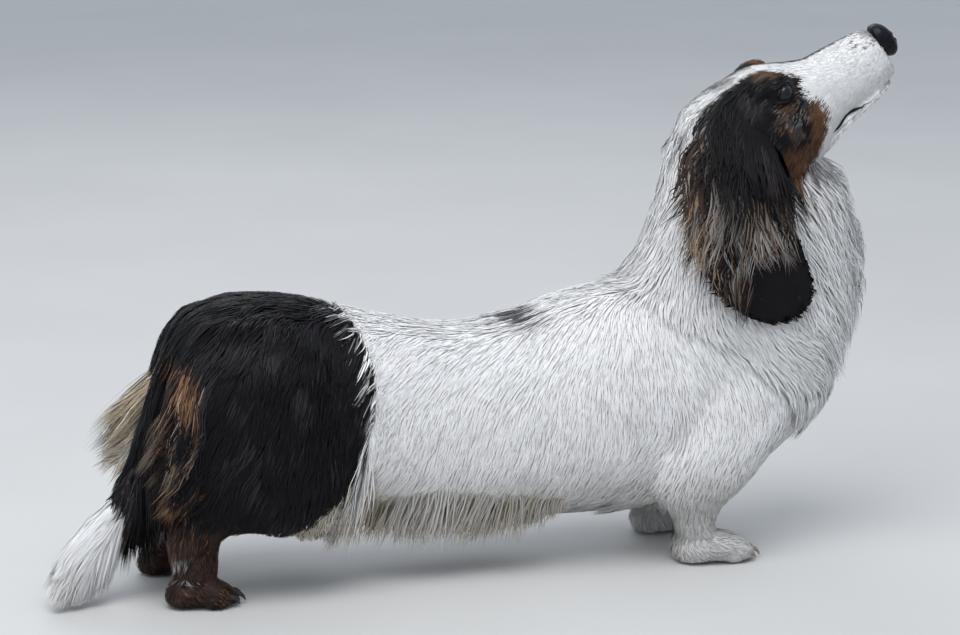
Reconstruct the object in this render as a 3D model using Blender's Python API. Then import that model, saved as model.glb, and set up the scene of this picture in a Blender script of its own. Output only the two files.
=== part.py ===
"""A long-haired dachshund as a still, life-size museum model.

The dog stands square on its four paws with its neck and head raised. +X is forward, +Y is the
dog's left and +Z is up, in metres, with the soles on Z = 0. The flesh is one sculpted form,
parted by thin cuts into torso, neck, head and legs. The long coat of the ears, neck, belly,
thighs and tail is made of flat tapered locks that are fused to the piece they grow from.
"""

import math

import bmesh
import bpy
import numpy as np
from mathutils import Matrix, Vector
from mathutils.bvhtree import BVHTree

MM = 0.001
GAP = 0.35 * MM              # the gap that the thin cuts leave between pieces
CLEARANCE = 0.28 * MM        # how far a lock is cut clear of a neighbour
FLOOR_CLEARANCE = 2.5 * MM   # hair ends at least this far above the floor
ORIGIN_SHIFT = (-0.9, -1.1)  # moves the drawn sizes towards the middle of the box, in mm
CENTRING = 3.0               # and the finished nodes along X, so that the box is centred on X = Y = 0

# Every form is a profile carried along a path. A station gives two opposite edge points of one
# ring in the side view (x1, z1, x2, z2), the ring's middle across the body (y) and its half
# width, all in millimetres.
TRUNK = (
    (-262, 196, -256, 150, 0, 24),
    (-246, 222, -244, 118, 0, 46),
    (-218, 236, -220, 92, 0, 60),
    (-180, 238, -180, 74, 0, 65),
    (-130, 229, -130, 60, 0, 61),
    (-75, 215, -75, 50, 0, 59),
    (-20, 206, -20, 44, 0, 62),
    (30, 213, 30, 40, 0, 67),
    (80, 226, 80, 38, 0, 71),
    (125, 232, 125, 38, 0, 71),
    (170, 228, 170, 42, 0, 69),
    (215, 218, 215, 52, 0, 64),
    (255, 200, 255, 78, 0, 55),
    (288, 178, 288, 108, 0, 40),
    (306, 160, 304, 128, 0, 22),
)
NECK = (
    (128, 190, 298, 118, 0, 60),
    (116, 222, 308, 158, 0, 62),
    (136, 250, 315, 196, 0, 58),
    (148, 278, 316, 238, 0, 53),
    (156, 306, 315, 280, 0, 48),
    (161, 332, 304, 312, 0, 44),
    (172, 356, 280, 334, 0, 38),
    (192, 370, 250, 346, 0, 25),
)
FORELEG = (
    (226, 198, 166, 206, 30, 16),
    (259, 166, 138, 172, 35, 31),
    (263, 132, 127, 130, 41, 34),
    (246, 98, 124, 94, 47, 32),
    (216, 66, 133, 66, 50, 26),
    (195, 46, 146, 49, 50, 20),
    (189, 34, 152, 36, 50, 18),
    (190, 22, 156, 22, 50, 17),
    (186, 12, 162, 12, 50, 12),
)
FORE_PAW = (
    (152, 18, 153, 4, 50, 9),
    (159, 25, 159, -4, 50, 17),
    (177, 27, 177, -4, 51, 21),
    (197, 25, 197, -4, 52, 22),
    (211, 19, 212, -4, 53, 18),
    (220, 10, 220, -3, 53, 9),
)
THIGH = (
    (-240, 226, -176, 230, 26, 20),
    (-256, 200, -138, 206, 34, 34),
    (-266, 168, -122, 168, 38, 38),
    (-264, 132, -118, 118, 41, 37),
    (-252, 92, -122, 68, 44, 33),
    (-238, 72, -144, 50, 46, 26),
    (-222, 66, -172, 50, 47, 16),
)
HOCK = (
    (-172, 110, -166, 60, 48, 24),
    (-200, 106, -196, 56, 49, 26),
    (-232, 98, -218, 57, 50, 23),
    (-262, 82, -229, 55, 50, 18),
    (-272, 60, -231, 46, 50, 16),
    (-271, 40, -232, 36, 50, 15),
    (-269, 24, -233, 24, 50, 15),
    (-264, 12, -238, 12, 50, 11),
)
TOE_SIZE = (12, 6.4, 10)
FORE_TOES_X, HIND_TOES_X = 206, -232
CLAW_HEIGHT = 9.0
CLAW_SPINE = (((0, 0, 0), 2.4), ((6.5, 0, -0.6), 1.9), ((9.5, 0, -3.2), 1.1))
CLAW_TIP = (11.0, 0, -6.2)
HIND_PAW = (
    (-276, 14, -276, 4, 50, 8),
    (-270, 22, -270, -4, 50, 14),
    (-254, 26, -254, -4, 51, 18),
    (-237, 23, -237, -4, 52, 19),
    (-226, 17, -226, -4, 52, 15),
    (-218, 9, -218, -3, 52, 8),
)
TAIL = (
    (-234, 224, -234, 200, 0, 10),
    (-256, 207, -242, 186, 0, 12),
    (-272, 174, -256, 166, -1, 12),
    (-284, 138, -268, 130, -3, 11),
    (-296, 106, -280, 94, -8, 10),
    (-311, 82, -296, 66, -14, 9),
    (-329, 60, -317, 44, -20, 8),
    (-345, 38, -338, 28, -26, 5),
)

# The head is drawn level in its own frame: u towards the nose, v up, from a pivot at the top of
# the neck. It is then lifted, turned a little to its right and tilted.
HEAD_PIVOT = (207, 0, 345)
HEAD_PITCH, HEAD_YAW, HEAD_ROLL = 30.5, -8.0, 5.0
SKULL = (
    (-32, 20, -32, -12, 0, 18),
    (-20, 33, -20, -38, 0, 35),
    (3, 39, 3, -60, 0, 45),
    (28, 39.5, 28, -69, 0, 48),
    (48, 38, 48, -67, 0, 46),
    (64, 32, 64, -61.5, 0, 41),
    (79, 24.5, 79, -54, 0, 34.5),
    (92, 19, 92, -47, 0, 29),
    (105, 18, 105, -43.5, 0, 26),
    (122, 16.5, 122, -41, 0, 23.5),
    (139, 14.5, 139, -37.5, 0, 20.5),
    (147, 12, 148.5, -34.5, 0, 17),
    (151, 8, 153, -30, 0, 12.5),
    (153.5, -6, 155, -23, 0, 6),
)
LOWER_JAW = (
    (52, -36, 52, -62, 0, 22),
    (72, -36, 72, -58, 0, 24),
    (92, -35, 92, -51.5, 0, 21.5),
    (106, -34, 106, -48.5, 0, 19.5),
    (123, -32, 123, -45.5, 0, 17.5),
    (136, -31, 136, -42.5, 0, 15),
    (144, -31, 144, -39, 0, 10.5),
    (147, -32, 147, -36, 0, 5),
)
NOSE_PAD = (
    (148, 5, 148, -7, 0, 8),
    (151, 10.5, 151, -11.5, 0, 11.5),
    (155, 12, 155, -15, 0, 12.5),
    (160, 9.5, 160, -16, 0, 12),
    (164, 4, 164, -13, 0, 9),
    (166.5, -2, 166.5, -9, 0, 4),
)
EYE_AT = (57.5, 31.0, 14.5)     # u, half the distance between the eyes, v
EYE_RADIUS = 10.0
LID_LENGTH, LID_HEIGHT, LID_THICKNESS = 9.0, 6.4, 2.2
BROW_AT, BROW_SIZE = (51.0, 25.5, 24.5), (15.0, 11.0, 9.5)
CHEEK_AT, CHEEK_SIZE = (38.0, 34.0, -14.0), (26.0, 16.0, 22.0)
MOUTH_LINE = ((172, -29), (152, -33), (135, -37), (114, -40.5), (95, -43), (83, -44.5))
MOUTH_SLIT = 0.9
JAW_BACK_U = 83.0
NOSTRIL_AT = (164.0, 6.6, -4.0)
NOSTRIL_SIZE = (5.2, 2.1, 3.3)
PHILTRUM_WIDTH = 1.2

# An ear flap: middle line (x, y, z), half width along the dog and how far it bows outwards.
EAR = (
    (210, 40, 384, 15, 1),
    (202, 49, 367, 27, 3),
    (197, 55, 340, 38, 4),
    (202, 60, 309, 40, 5),
    (209, 64, 280, 40, 5),
    (215, 66, 252, 43, 5),
    (225, 66, 228, 40, 4),
    (236, 65, 210, 26, 2),
    (240, 64.5, 202, 10, 1),
)
EAR_THICKNESS = 6.0
EAR_ROWS, EAR_SIDES = 13, 12
LEFT_EAR_FORWARD, LEFT_EAR_INWARD = 24.0, 9.0  # the turned head carries the left ear along

# Planes that part the body, as two points (x, z) in the side view, with the first named
# piece on the upper or forward side.
HEAD_CUT = ((160, 358), (302, 324))
NECK_CUT = ((104, 256), (306, 122))
# Outlines that part a leg from the torso, in the side view, and the inner cut's distance from
# the middle at the floor and at 200 mm.
FORELEG_CUT = ((121, -20), (121, 96), (120, 140), (150, 168), (196, 172), (236, 152),
               (262, 112), (262, -20))
THIGH_CUT = ((-300, -20), (-300, 150), (-268, 196), (-226, 216), (-172, 208), (-130, 172),
             (-112, 120), (-122, 50), (-168, -20))
# Cuts across each leg, below the elbow and at the hock, as two points in the side view.
ELBOW_CUT = ((90, 80), (250, 64))
HOCK_CUT = ((-292, 98), (-215, 42))
CUT_AT_FLOOR, CUT_AT_200 = 22.0, 40.0
CUT_OUT_TO = 130.0

VOXEL_BODY, VOXEL_HEAD = 3.6 * MM, 2.0 * MM
TORSO_FACES, NECK_FACES, HEAD_FACES, LEG_FACES = 820, 420, 1520, 380

# The locks of the coat. A lock's sizes are millimetres: length along its lie, width, and how far
# its tip stands off the piece. A row of locks is spread evenly between two places.
LOCK_STEPS = (0.0, 0.32, 0.74, 1.0)
LOCK_OUTLINE = (0.74, 1.0, 0.82, 0.0)
LOCK_THICKNESS, LOCK_SINK = 3.2, 7.0
RUFF_WIDTH, FRINGE_WIDTH, BREECHES_WIDTH = 34, 34, 26
EAR_LOCK_WIDTH, ELBOW_WIDTH, TAIL_WIDTH = 21, 22, 18
NECK_SEED, TORSO_SEED, ELBOW_SEED, BREECHES_SEED, EAR_SEED, TAIL_SEED = 11, 23, 31, 41, 53, 67
SIZE_SPREAD = 0.14
# Ruff: height of the tier, how far round each side it reaches in degrees, count, length, stand-off.
RUFF_TIERS = (
    (330, 70, 4, 36, 9), (306, 88, 5, 42, 12), (280, 98, 5, 46, 15), (254, 104, 6, 48, 17),
    (228, 104, 6, 50, 18), (202, 92, 5, 50, 18), (176, 70, 4, 46, 17), (152, 44, 3, 42, 14),
)
# Fringe: distance from the middle, height seen from, first and last place along the body, count,
# length and stand-off.
BELLY_ROWS = ((50, 64, 100, -124, 7, 40, 7), (20, 50, 84, -124, 5, 36, 9))
BRISKET_ROW = (20, 284, 226, 2, 34, 9)
# Feathers behind the elbow: height, distance from the middle, length.
ELBOW_LOCKS = ((106, 62, 34), (88, 50, 34), (74, 62, 30), (56, 52, 28))
# Breeches: height, distance from the middle, length, stand-off.
BREECHES_LOCKS = (
    (206, 34, 42, 12), (186, 54, 46, 14), (178, 32, 50, 18), (158, 48, 52, 20), (146, 66, 46, 10),
    (132, 36, 54, 20), (122, 56, 50, 15), (104, 44, 50, 14), (88, 60, 42, 8), (72, 46, 40, 8),
    (52, 54, 34, 5),
)
THIGH_EDGE = (-204, -138, 3, 56, 30)
# Ear hair: height, place along the body, length; then the fringe down the flap's back edge.
EAR_LOCKS = (
    (372, 206, 50), (358, 190, 56), (354, 220, 52), (338, 204, 58), (326, 186, 58), (320, 224, 50),
    (306, 206, 54), (290, 188, 52), (280, 212, 44), (264, 196, 40),
)
EAR_FRINGE = ((362, 46), (336, 50), (310, 50), (282, 46))
# Tail: share of the way along it, length and droop; each row has locks at these turns from its top.
TAIL_ROWS = (
    (0.12, 48, 4), (0.26, 54, 4), (0.40, 58, 4), (0.54, 54, 5), (0.68, 44, 6), (0.81, 38, 7),
    (0.93, 32, 7),
)
TAIL_TURNS = (20, 100, 180, 260)
TIDY_ANGLE = 0.3

WHITE, BLACK_BROWN = (0.80, 0.79, 0.76, 1), (0.022, 0.017, 0.016, 1)
NOSE_BLACK = (0.012, 0.012, 0.014, 1)


def clear_scene():
    """Removes every object that the scene starts with."""
    for obj in list(bpy.data.objects):
        bpy.data.objects.remove(obj)


def material(name, colour, roughness):
    """A plain finish: base colour and roughness, no metal."""
    made = bpy.data.materials.new(name)
    made.use_nodes = True
    shader = made.node_tree.nodes["Principled BSDF"]
    shader.inputs["Base Color"].default_value = colour
    shader.inputs["Roughness"].default_value = roughness
    return made


def body_place():
    """Places a form drawn in the body's millimetres."""
    return Matrix.Translation((ORIGIN_SHIFT[0] * MM, ORIGIN_SHIFT[1] * MM, 0)) @ Matrix.Scale(MM, 4)


def head_place():
    """Places a form drawn in the head's own frame."""
    turn = (
        Matrix.Rotation(math.radians(HEAD_YAW), 4, "Z")
        @ Matrix.Rotation(-math.radians(HEAD_PITCH), 4, "Y")
        @ Matrix.Rotation(math.radians(HEAD_ROLL), 4, "X")
    )
    return body_place() @ Matrix.Translation(HEAD_PIVOT) @ turn


def spline(knots, values, at):
    """A smooth curve through values at knots: cubic pieces with slopes from the neighbours."""
    slopes = np.gradient(values, knots, axis=0)
    low = np.clip(np.searchsorted(knots, at, side="right") - 1, 0, len(knots) - 2)
    step = (knots[low + 1] - knots[low])[:, None]
    t = (at - knots[low])[:, None] / step
    return (
        values[low] * (1 + 2 * t) * (1 - t) ** 2
        + slopes[low] * step * t * (1 - t) ** 2
        + values[low + 1] * t * t * (3 - 2 * t)
        + slopes[low + 1] * step * t * t * (t - 1)
    )


def along(stations, count):
    """The stations resampled to count places, evenly by the length of the middle line."""
    table = np.array(stations, float)
    middle = np.stack([table[:, 0] + table[:, 2], table[:, 1] + table[:, 3], 2 * table[:, 4]], 1) / 2
    knots = np.concatenate([[0], np.cumsum(np.linalg.norm(np.diff(middle, axis=0), axis=1))])
    return spline(knots, table, np.linspace(0, knots[-1], count))


def mesh_object(name, points, faces, place=None):
    """A new object from points and faces, with its normals made to point outwards."""
    mesh = bpy.data.meshes.new(name)
    mesh.from_pydata([tuple(p) for p in points], [], faces)
    if place is not None:
        mesh.transform(place)
    work = bmesh.new()
    work.from_mesh(mesh)
    bmesh.ops.recalc_face_normals(work, faces=work.faces)
    work.to_mesh(mesh)
    work.free()
    obj = bpy.data.objects.new(name, mesh)
    bpy.context.scene.collection.objects.link(obj)
    return obj


def skinned(rings):
    """Points and faces of a closed tube through rings of equal size, with a fan at each end."""
    count, sides = len(rings), len(rings[0])
    points = np.concatenate([np.concatenate(rings), [np.mean(rings[0], 0)], [np.mean(rings[-1], 0)]])
    faces = []
    for i in range(count - 1):
        for j in range(sides):
            k = (j + 1) % sides
            faces.append((i * sides + j, i * sides + k, (i + 1) * sides + k, (i + 1) * sides + j))
    first, last = count * sides, count * sides + 1
    for j in range(sides):
        k = (j + 1) % sides
        faces.append((k, j, first))
        faces.append(((count - 1) * sides + j, (count - 1) * sides + k, last))
    return points, faces


def form(name, stations, place, side=1, count=26, sides=28, power=2.25):
    """A closed form: a superellipse of the given power carried through the stations."""
    angle = np.linspace(0, 2 * math.pi, sides, endpoint=False)
    across = np.sign(np.cos(angle)) * np.abs(np.cos(angle)) ** (2 / power)
    upward = np.sign(np.sin(angle)) * np.abs(np.sin(angle)) ** (2 / power)
    rings = []
    for x1, z1, x2, z2, y, half_width in along(stations, count):
        middle = np.array([(x1 + x2) / 2, side * y, (z1 + z2) / 2])
        half = np.array([(x1 - x2) / 2, 0, (z1 - z2) / 2])
        rings.append(middle + np.outer(upward, half) + np.outer(across, [0, max(half_width, 1), 0]))
    return mesh_object(name, *skinned(rings), place)


def ellipsoid(name, centre, size, place, segments=16):
    """A closed ellipsoid with half axes size, turned with its place."""
    mesh = bpy.data.meshes.new(name)
    work = bmesh.new()
    bmesh.ops.create_uvsphere(work, u_segments=segments, v_segments=segments // 2 + 2, radius=1)
    work.to_mesh(mesh)
    work.free()
    mesh.transform(place @ Matrix.Translation(centre) @ Matrix.Diagonal((*size, 1)))
    obj = bpy.data.objects.new(name, mesh)
    bpy.context.scene.collection.objects.link(obj)
    return obj


def drop(*objects):
    """Removes working objects and their meshes."""
    for obj in objects:
        mesh = obj.data
        bpy.data.objects.remove(obj)
        bpy.data.meshes.remove(mesh)


def settle(obj):
    """Replaces the object's mesh by what its modifiers make of it."""
    graph = bpy.context.evaluated_depsgraph_get()
    made = bpy.data.meshes.new_from_object(obj.evaluated_get(graph))
    old = obj.data
    obj.modifiers.clear()
    obj.data = made
    bpy.data.meshes.remove(old)
    return obj


def copy_of(obj, name):
    """A second object with its own copy of the mesh."""
    twin = bpy.data.objects.new(name, obj.data.copy())
    bpy.context.scene.collection.objects.link(twin)
    return twin


def boolean(obj, other, operation, solver="EXACT"):
    """Joins, cuts or intersects obj with other, and applies the result."""
    step = obj.modifiers.new(operation.lower(), "BOOLEAN")
    step.operation = operation
    step.object = other
    step.solver = solver
    return settle(obj)


def keep_largest(obj):
    """Deletes all but the closed surface with the most volume."""
    work = bmesh.new()
    work.from_mesh(obj.data)
    bmesh.ops.triangulate(work, faces=work.faces)
    left, groups = set(work.faces), []
    while left:
        group, stack = [], [left.pop()]
        while stack:
            face = stack.pop()
            group.append(face)
            for edge in face.edges:
                for near in edge.link_faces:
                    if near in left:
                        left.remove(near)
                        stack.append(near)
        volume = sum(f.verts[0].co.dot(f.verts[1].co.cross(f.verts[2].co)) for f in group) / 6
        groups.append((volume, group))
    best = max(groups, key=lambda pair: pair[0])[1]
    chosen = set(best)
    bmesh.ops.delete(work, geom=[f for f in work.faces if f not in chosen], context="FACES")
    work.to_mesh(obj.data)
    work.free()
    return obj


def swollen(obj, by=CLEARANCE):
    """A working copy of obj, grown along its normals, to cut a neighbour with."""
    grown = copy_of(obj, "cutter")
    step = grown.modifiers.new("grow", "DISPLACE")
    step.strength, step.mid_level = by, 0.0
    return settle(grown)


def trim(obj, *neighbours):
    """Cuts obj clear of each neighbour and keeps its largest piece."""
    for near in neighbours:
        cutter = swollen(near)
        boolean(obj, cutter, "DIFFERENCE", "MANIFOLD")
        boolean(obj, near, "DIFFERENCE", "MANIFOLD")
        drop(cutter)
        keep_largest(obj)
    return obj


def fused(name, pieces):
    """One closed body from overlapping closed pieces, by one union on their collection."""
    base = pieces[0]
    base.name = name
    if len(pieces) > 1:
        group = bpy.data.collections.new(name + "_pieces")
        bpy.context.scene.collection.children.link(group)
        for piece in pieces[1:]:
            bpy.context.scene.collection.objects.unlink(piece)
            group.objects.link(piece)
        step = base.modifiers.new("join", "BOOLEAN")
        step.operation, step.solver = "UNION", "MANIFOLD"
        step.operand_type, step.collection = "COLLECTION", group
        settle(base)
        drop(*pieces[1:])
        bpy.data.collections.remove(group)
    return keep_largest(base)


def melted(name, pieces, voxel, rounds):
    """One smooth skin over overlapping forms: remeshed on a grid and eased where they meet."""
    work = bmesh.new()
    for piece in pieces:
        work.from_mesh(piece.data)
    mesh = bpy.data.meshes.new(name)
    work.to_mesh(mesh)
    work.free()
    drop(*pieces)
    obj = bpy.data.objects.new(name, mesh)
    bpy.context.scene.collection.objects.link(obj)
    remesh = obj.modifiers.new("grid", "REMESH")
    remesh.mode, remesh.voxel_size, remesh.adaptivity = "VOXEL", voxel, 0.0
    ease = obj.modifiers.new("ease", "SMOOTH")
    ease.factor, ease.iterations = 0.5, rounds
    return settle(obj)


def coarser(source, name, box, faces):
    """A copy of the fine skin inside a rough box, reduced to about that many triangles."""
    low, high = (Vector(c) * MM for c in box)
    obj = copy_of(source, name)
    corner = block("rough", low, high)
    boolean(obj, corner, "INTERSECT", "MANIFOLD")
    drop(corner)
    keep_largest(obj)
    thin = obj.modifiers.new("thin", "DECIMATE")
    thin.ratio = min(1.0, faces / len(obj.data.polygons))
    thin.use_collapse_triangulate = True
    return settle(obj)


def block(name, low, high):
    """A box between two corners, in metres."""
    mesh = bpy.data.meshes.new(name)
    work = bmesh.new()
    bmesh.ops.create_cube(work, size=1.0)
    work.to_mesh(mesh)
    work.free()
    size, middle = Vector(high) - Vector(low), (Vector(high) + Vector(low)) / 2
    mesh.transform(Matrix.Translation(middle) @ Matrix.Diagonal((*size, 1)))
    obj = bpy.data.objects.new(name, mesh)
    bpy.context.scene.collection.objects.link(obj)
    return obj


def half_space(cut, above, size=900.0):
    """A large box on one side of a plane through two side-view points, half a gap clear of it."""
    (x1, z1), (x2, z2) = cut
    tilt = math.atan2(z2 - z1, x2 - x1)
    rise = GAP / MM / 2
    low, high = (rise, size) if above else (-size, -rise)
    outline = ((-size, low), (size, low), (size, high), (-size, high))
    turned = [
        (x1 + u * math.cos(tilt) - v * math.sin(tilt), z1 + u * math.sin(tilt) + v * math.cos(tilt))
        for u, v in outline
    ]
    return prism("half", turned, lambda z: -size, size, body_place())


def prism(name, outline, inner, outer, place, side=1):
    """A side-view outline extruded across the body, from inner(z) out to outer."""
    count = len(outline)
    near = [(x, side * inner(z), z) for x, z in outline]
    far = [(x, side * outer, z) for x, z in outline]
    faces = [tuple(range(count)), tuple(range(count, 2 * count))]
    faces += [(i, (i + 1) % count, count + (i + 1) % count, count + i) for i in range(count)]
    return mesh_object(name, near + far, faces, place)


def leg_region(outline, side, spread):
    """The space that a leg is cut from, grown outwards by spread millimetres on every face."""
    points = np.array(outline, float)
    centre = points.mean(0)
    away = points - centre
    points = points + spread * away / np.linalg.norm(away, axis=1)[:, None]
    slope = (CUT_AT_200 - CUT_AT_FLOOR) / 200

    def inner(z):
        return CUT_AT_FLOOR + slope * z - spread

    return prism("leg_region", points.tolist(), inner, CUT_OUT_TO, body_place(), side)


def toe_places():
    """How far across and behind the foremost toe each toe of a paw lies."""
    return ((-15, 7), (-5.5, 0), (5.5, 0), (15, 7))


def toes(at_x, side, y, height):
    """Four toe pads side by side at the front of a paw."""
    return [
        ellipsoid("toe", (at_x - back, side * (y + across), height), TOE_SIZE, body_place(), 12)
        for across, back in toe_places()
    ]


def claws(at_x, side, y):
    """Four short claws, each a tapered cone that curves down to just above the floor."""
    made = []
    angle = np.linspace(0, 2 * math.pi, 4, endpoint=False)
    circle = np.stack([np.zeros(4), np.cos(angle), np.sin(angle)], 1)
    for across, back in toe_places():
        root = np.array([at_x - back + TOE_SIZE[0] - 4, side * (y + across), CLAW_HEIGHT])
        rings = [root + offset + radius * circle for offset, radius in CLAW_SPINE]
        tip = root + CLAW_TIP
        points = np.concatenate(rings + [[tip]])
        made.append(mesh_object("claw", points, lock_faces(len(rings)), body_place()))
    return made


def fine_body():
    """The whole body and neck as one smooth form at the outside of the coat."""
    place = body_place()
    pieces = [form("trunk", TRUNK, place, count=40, sides=40), form("nape", NECK, place, count=30, sides=36)]
    for side in (1, -1):
        pieces += [
            form("foreleg", FORELEG, place, side),
            form("fore_paw", FORE_PAW, place, side, count=16),
            form("thigh", THIGH, place, side),
            form("hock", HOCK, place, side),
            form("hind_paw", HIND_PAW, place, side, count=16),
        ]
        pieces += toes(FORE_TOES_X, side, 52, 9) + toes(HIND_TOES_X, side, 51, 8)
    return melted("fine_body", pieces, VOXEL_BODY, 5)


def fine_head():
    """Skull, muzzle, brows and cheeks as one smooth form, with the neck's top to blend into."""
    place = head_place()
    pieces = [
        form("skull", SKULL, place, count=40, sides=36),
        form("jaw", LOWER_JAW, place, count=20, sides=24),
        form("nape", NECK, body_place(), count=30, sides=36),
    ]
    for side in (1, -1):
        u, w, v = BROW_AT
        pieces.append(ellipsoid("brow", (u, side * w, v), BROW_SIZE, place))
        u, w, v = CHEEK_AT
        pieces.append(ellipsoid("cheek", (u, side * w, v), CHEEK_SIZE, place))
    return melted("fine_head", pieces, VOXEL_HEAD, 3)


def cut_below_floor(obj):
    """Cuts off what reaches below the floor, which leaves flat soles at Z = 0."""
    under = block("under", (-1, -1, -0.2), (1, 1, 0))
    boolean(obj, under, "DIFFERENCE", "MANIFOLD")
    drop(under)
    return keep_largest(obj)


def parted(source, name, box, faces, keep=(), remove=()):
    """A node cut from the fine skin: inside every keep region and outside every remove region."""
    obj = coarser(source, name, box, faces)
    for operation, regions in (("INTERSECT", keep), ("DIFFERENCE", remove)):
        for region in regions:
            boolean(obj, region, operation, "MANIFOLD")
            drop(region)
    return keep_largest(obj)


def make_body_nodes(skin):
    """The torso, neck and four legs, parted from one skin by thin cuts."""
    nodes = {}
    spread = GAP / MM
    regions = [
        leg_region(outline, side, spread)
        for outline in (FORELEG_CUT, THIGH_CUT)
        for side in (1, -1)
    ]
    nodes["torso"] = parted(
        skin, "torso", ((-320, -120, 20), (340, 120, 300)), TORSO_FACES,
        keep=[half_space(NECK_CUT, False)], remove=regions,
    )
    nodes["neck"] = parted(
        skin, "neck", ((80, -120, 90), (340, 120, 420)), NECK_FACES,
        keep=[half_space(NECK_CUT, True), half_space(HEAD_CUT, False)],
    )
    for side, word in ((1, "left"), (-1, "right")):
        for upper, lower, outline, cut, box in (
            ("shoulder", "foreleg", FORELEG_CUT, ELBOW_CUT, ((95, 8, -10), (275, 120, 185))),
            ("thigh", "hind_leg", THIGH_CUT, HOCK_CUT, ((-310, 8, -10), (-105, 120, 230))),
        ):
            low, high = box
            if side < 0:
                low, high = (low[0], -high[1], low[2]), (high[0], -low[1], high[2])
            whole = parted(skin, "leg", (low, high), LEG_FACES, keep=[leg_region(outline, side, 0.0)])
            cut_below_floor(whole)
            for name, above in ((upper, True), (lower, False)):
                piece = copy_of(whole, f"{name}_{word}")
                region = half_space(cut, above)
                boolean(piece, region, "INTERSECT", "MANIFOLD")
                drop(region)
                nodes[piece.name] = keep_largest(piece)
            drop(whole)
    return nodes


def eye_parts(side):
    """One eyeball, and the ring of lids that is fused to the head around it."""
    u, w, v = EYE_AT
    place = head_place()
    ball = ellipsoid("eye", (u, side * w, v), (EYE_RADIUS,) * 3, place, 12)
    angle = np.linspace(0, 2 * math.pi, 16, endpoint=False)
    look = Vector((0.42, side, 0.10)).normalized()
    along_lid = Vector((look.y * -side, look.x * side, 0)).normalized() * -1
    upward = look.cross(along_lid) * side
    centre = np.array([u, side * w, v])
    rings = []
    for a in angle:
        reach = np.array(along_lid) * LID_LENGTH * math.cos(a) + np.array(upward) * LID_HEIGHT * math.sin(a)
        depth = math.sqrt(max(EYE_RADIUS**2 - float(reach @ reach), 9.0))
        spot = centre + reach + np.array(look) * depth
        out = reach / np.linalg.norm(reach)
        turn = np.linspace(0, 2 * math.pi, 6, endpoint=False)
        rings.append([
            spot + LID_THICKNESS * (math.cos(t) * out + math.sin(t) * np.array(look)) for t in turn
        ])
    count, sides = len(rings), 6
    faces = [
        (i * sides + j, i * sides + (j + 1) % sides, ((i + 1) % count) * sides + (j + 1) % sides,
         ((i + 1) % count) * sides + j)
        for i in range(count) for j in range(sides)
    ]
    lids = mesh_object("lids", np.concatenate(rings), faces, place)
    return ball, lids


def mouth_cutter():
    """A thin sheet along the line of the mouth, closed behind by a short upright cut."""
    upper = [(u, v + MOUTH_SLIT / 2) for u, v in MOUTH_LINE]
    lower = [(u, v - MOUTH_SLIT / 2) for u, v in reversed(MOUTH_LINE)]
    back_u, back_v = JAW_BACK_U, MOUTH_LINE[-1][1]
    outline = upper + [(back_u - MOUTH_SLIT / 2, back_v), (back_u - MOUTH_SLIT / 2, -90),
                       (back_u + MOUTH_SLIT / 2, -90)] + lower
    return prism("mouth", outline, lambda v: -60.0, 60.0, head_place())


def split_islands(obj, names):
    """Parts an object into its closed pieces, largest first, one for each name."""
    bpy.ops.object.select_all(action="DESELECT")
    obj.select_set(True)
    bpy.context.view_layer.objects.active = obj
    bpy.ops.mesh.separate(type="LOOSE")
    found = sorted(bpy.context.selected_objects, key=lambda o: -Vector(o.dimensions).length)
    for piece, name in zip(found, names):
        piece.name = name
    drop(*found[len(names):])
    return found[: len(names)]


def make_head_nodes(skin):
    """Head, lower jaw, nose and eyes."""
    head = parted(skin, "head", ((120, -120, 290), (380, 120, 470)), HEAD_FACES,
                  keep=[half_space(HEAD_CUT, True)])
    nodes = {}
    for side, word in ((1, "left"), (-1, "right")):
        ball, lids = eye_parts(side)
        head = fused("head", [head, lids])
        trim(head, ball)
        ball.name = f"eye_{word}"
        nodes[ball.name] = ball
    pad = form("nose", NOSE_PAD, head_place(), count=8, sides=14, power=2.4)
    for side in (1, -1):
        u, w, v = NOSTRIL_AT
        hole = ellipsoid("nostril", (u, side * w, v), NOSTRIL_SIZE, head_place(), 8)
        boolean(pad, hole, "DIFFERENCE", "MANIFOLD")
        drop(hole)
    groove = prism(
        "philtrum", ((161.5, -21), (174, -21), (174, -5), (166.5, -5)),
        lambda v: -PHILTRUM_WIDTH / 2, PHILTRUM_WIDTH / 2, head_place(),
    )
    boolean(pad, groove, "DIFFERENCE", "MANIFOLD")
    drop(groove)
    nodes["nose"] = keep_largest(pad)
    trim(head, nodes["nose"])
    slit = mouth_cutter()
    boolean(head, slit, "DIFFERENCE", "MANIFOLD")
    drop(slit)
    nodes["head"], nodes["lower_jaw"] = split_islands(head, ("head", "lower_jaw"))
    return nodes


def make_ear(side):
    """One hanging ear flap: a curved plate with a rounded rim, hollowed on its inner face."""
    table = np.array(EAR, float)
    knots = np.concatenate([[0], np.cumsum(np.linalg.norm(np.diff(table[:, :3], axis=0), axis=1))])
    rows = spline(knots, table, np.linspace(0, knots[-1], EAR_ROWS))
    angle = np.linspace(0, 2 * math.pi, EAR_SIDES, endpoint=False)
    if side > 0:
        rows[:, 0] += LEFT_EAR_FORWARD
        rows[:, 1] -= LEFT_EAR_INWARD * np.clip(1 - np.arange(len(rows)) / 7, 0, 1)
    rings = []
    for x, y, z, half_width, bow in rows:
        lengthwise = half_width * np.cos(angle)
        plate = EAR_THICKNESS / 2 * np.sign(np.sin(angle)) * np.abs(np.sin(angle)) ** 0.7
        curl = bow * (1 - np.cos(angle) ** 2)
        rings.append(np.stack([x + lengthwise, side * (y + plate + curl), np.full(EAR_SIDES, z)], 1))
    return mesh_object("ear", *skinned(rings), body_place())


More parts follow.
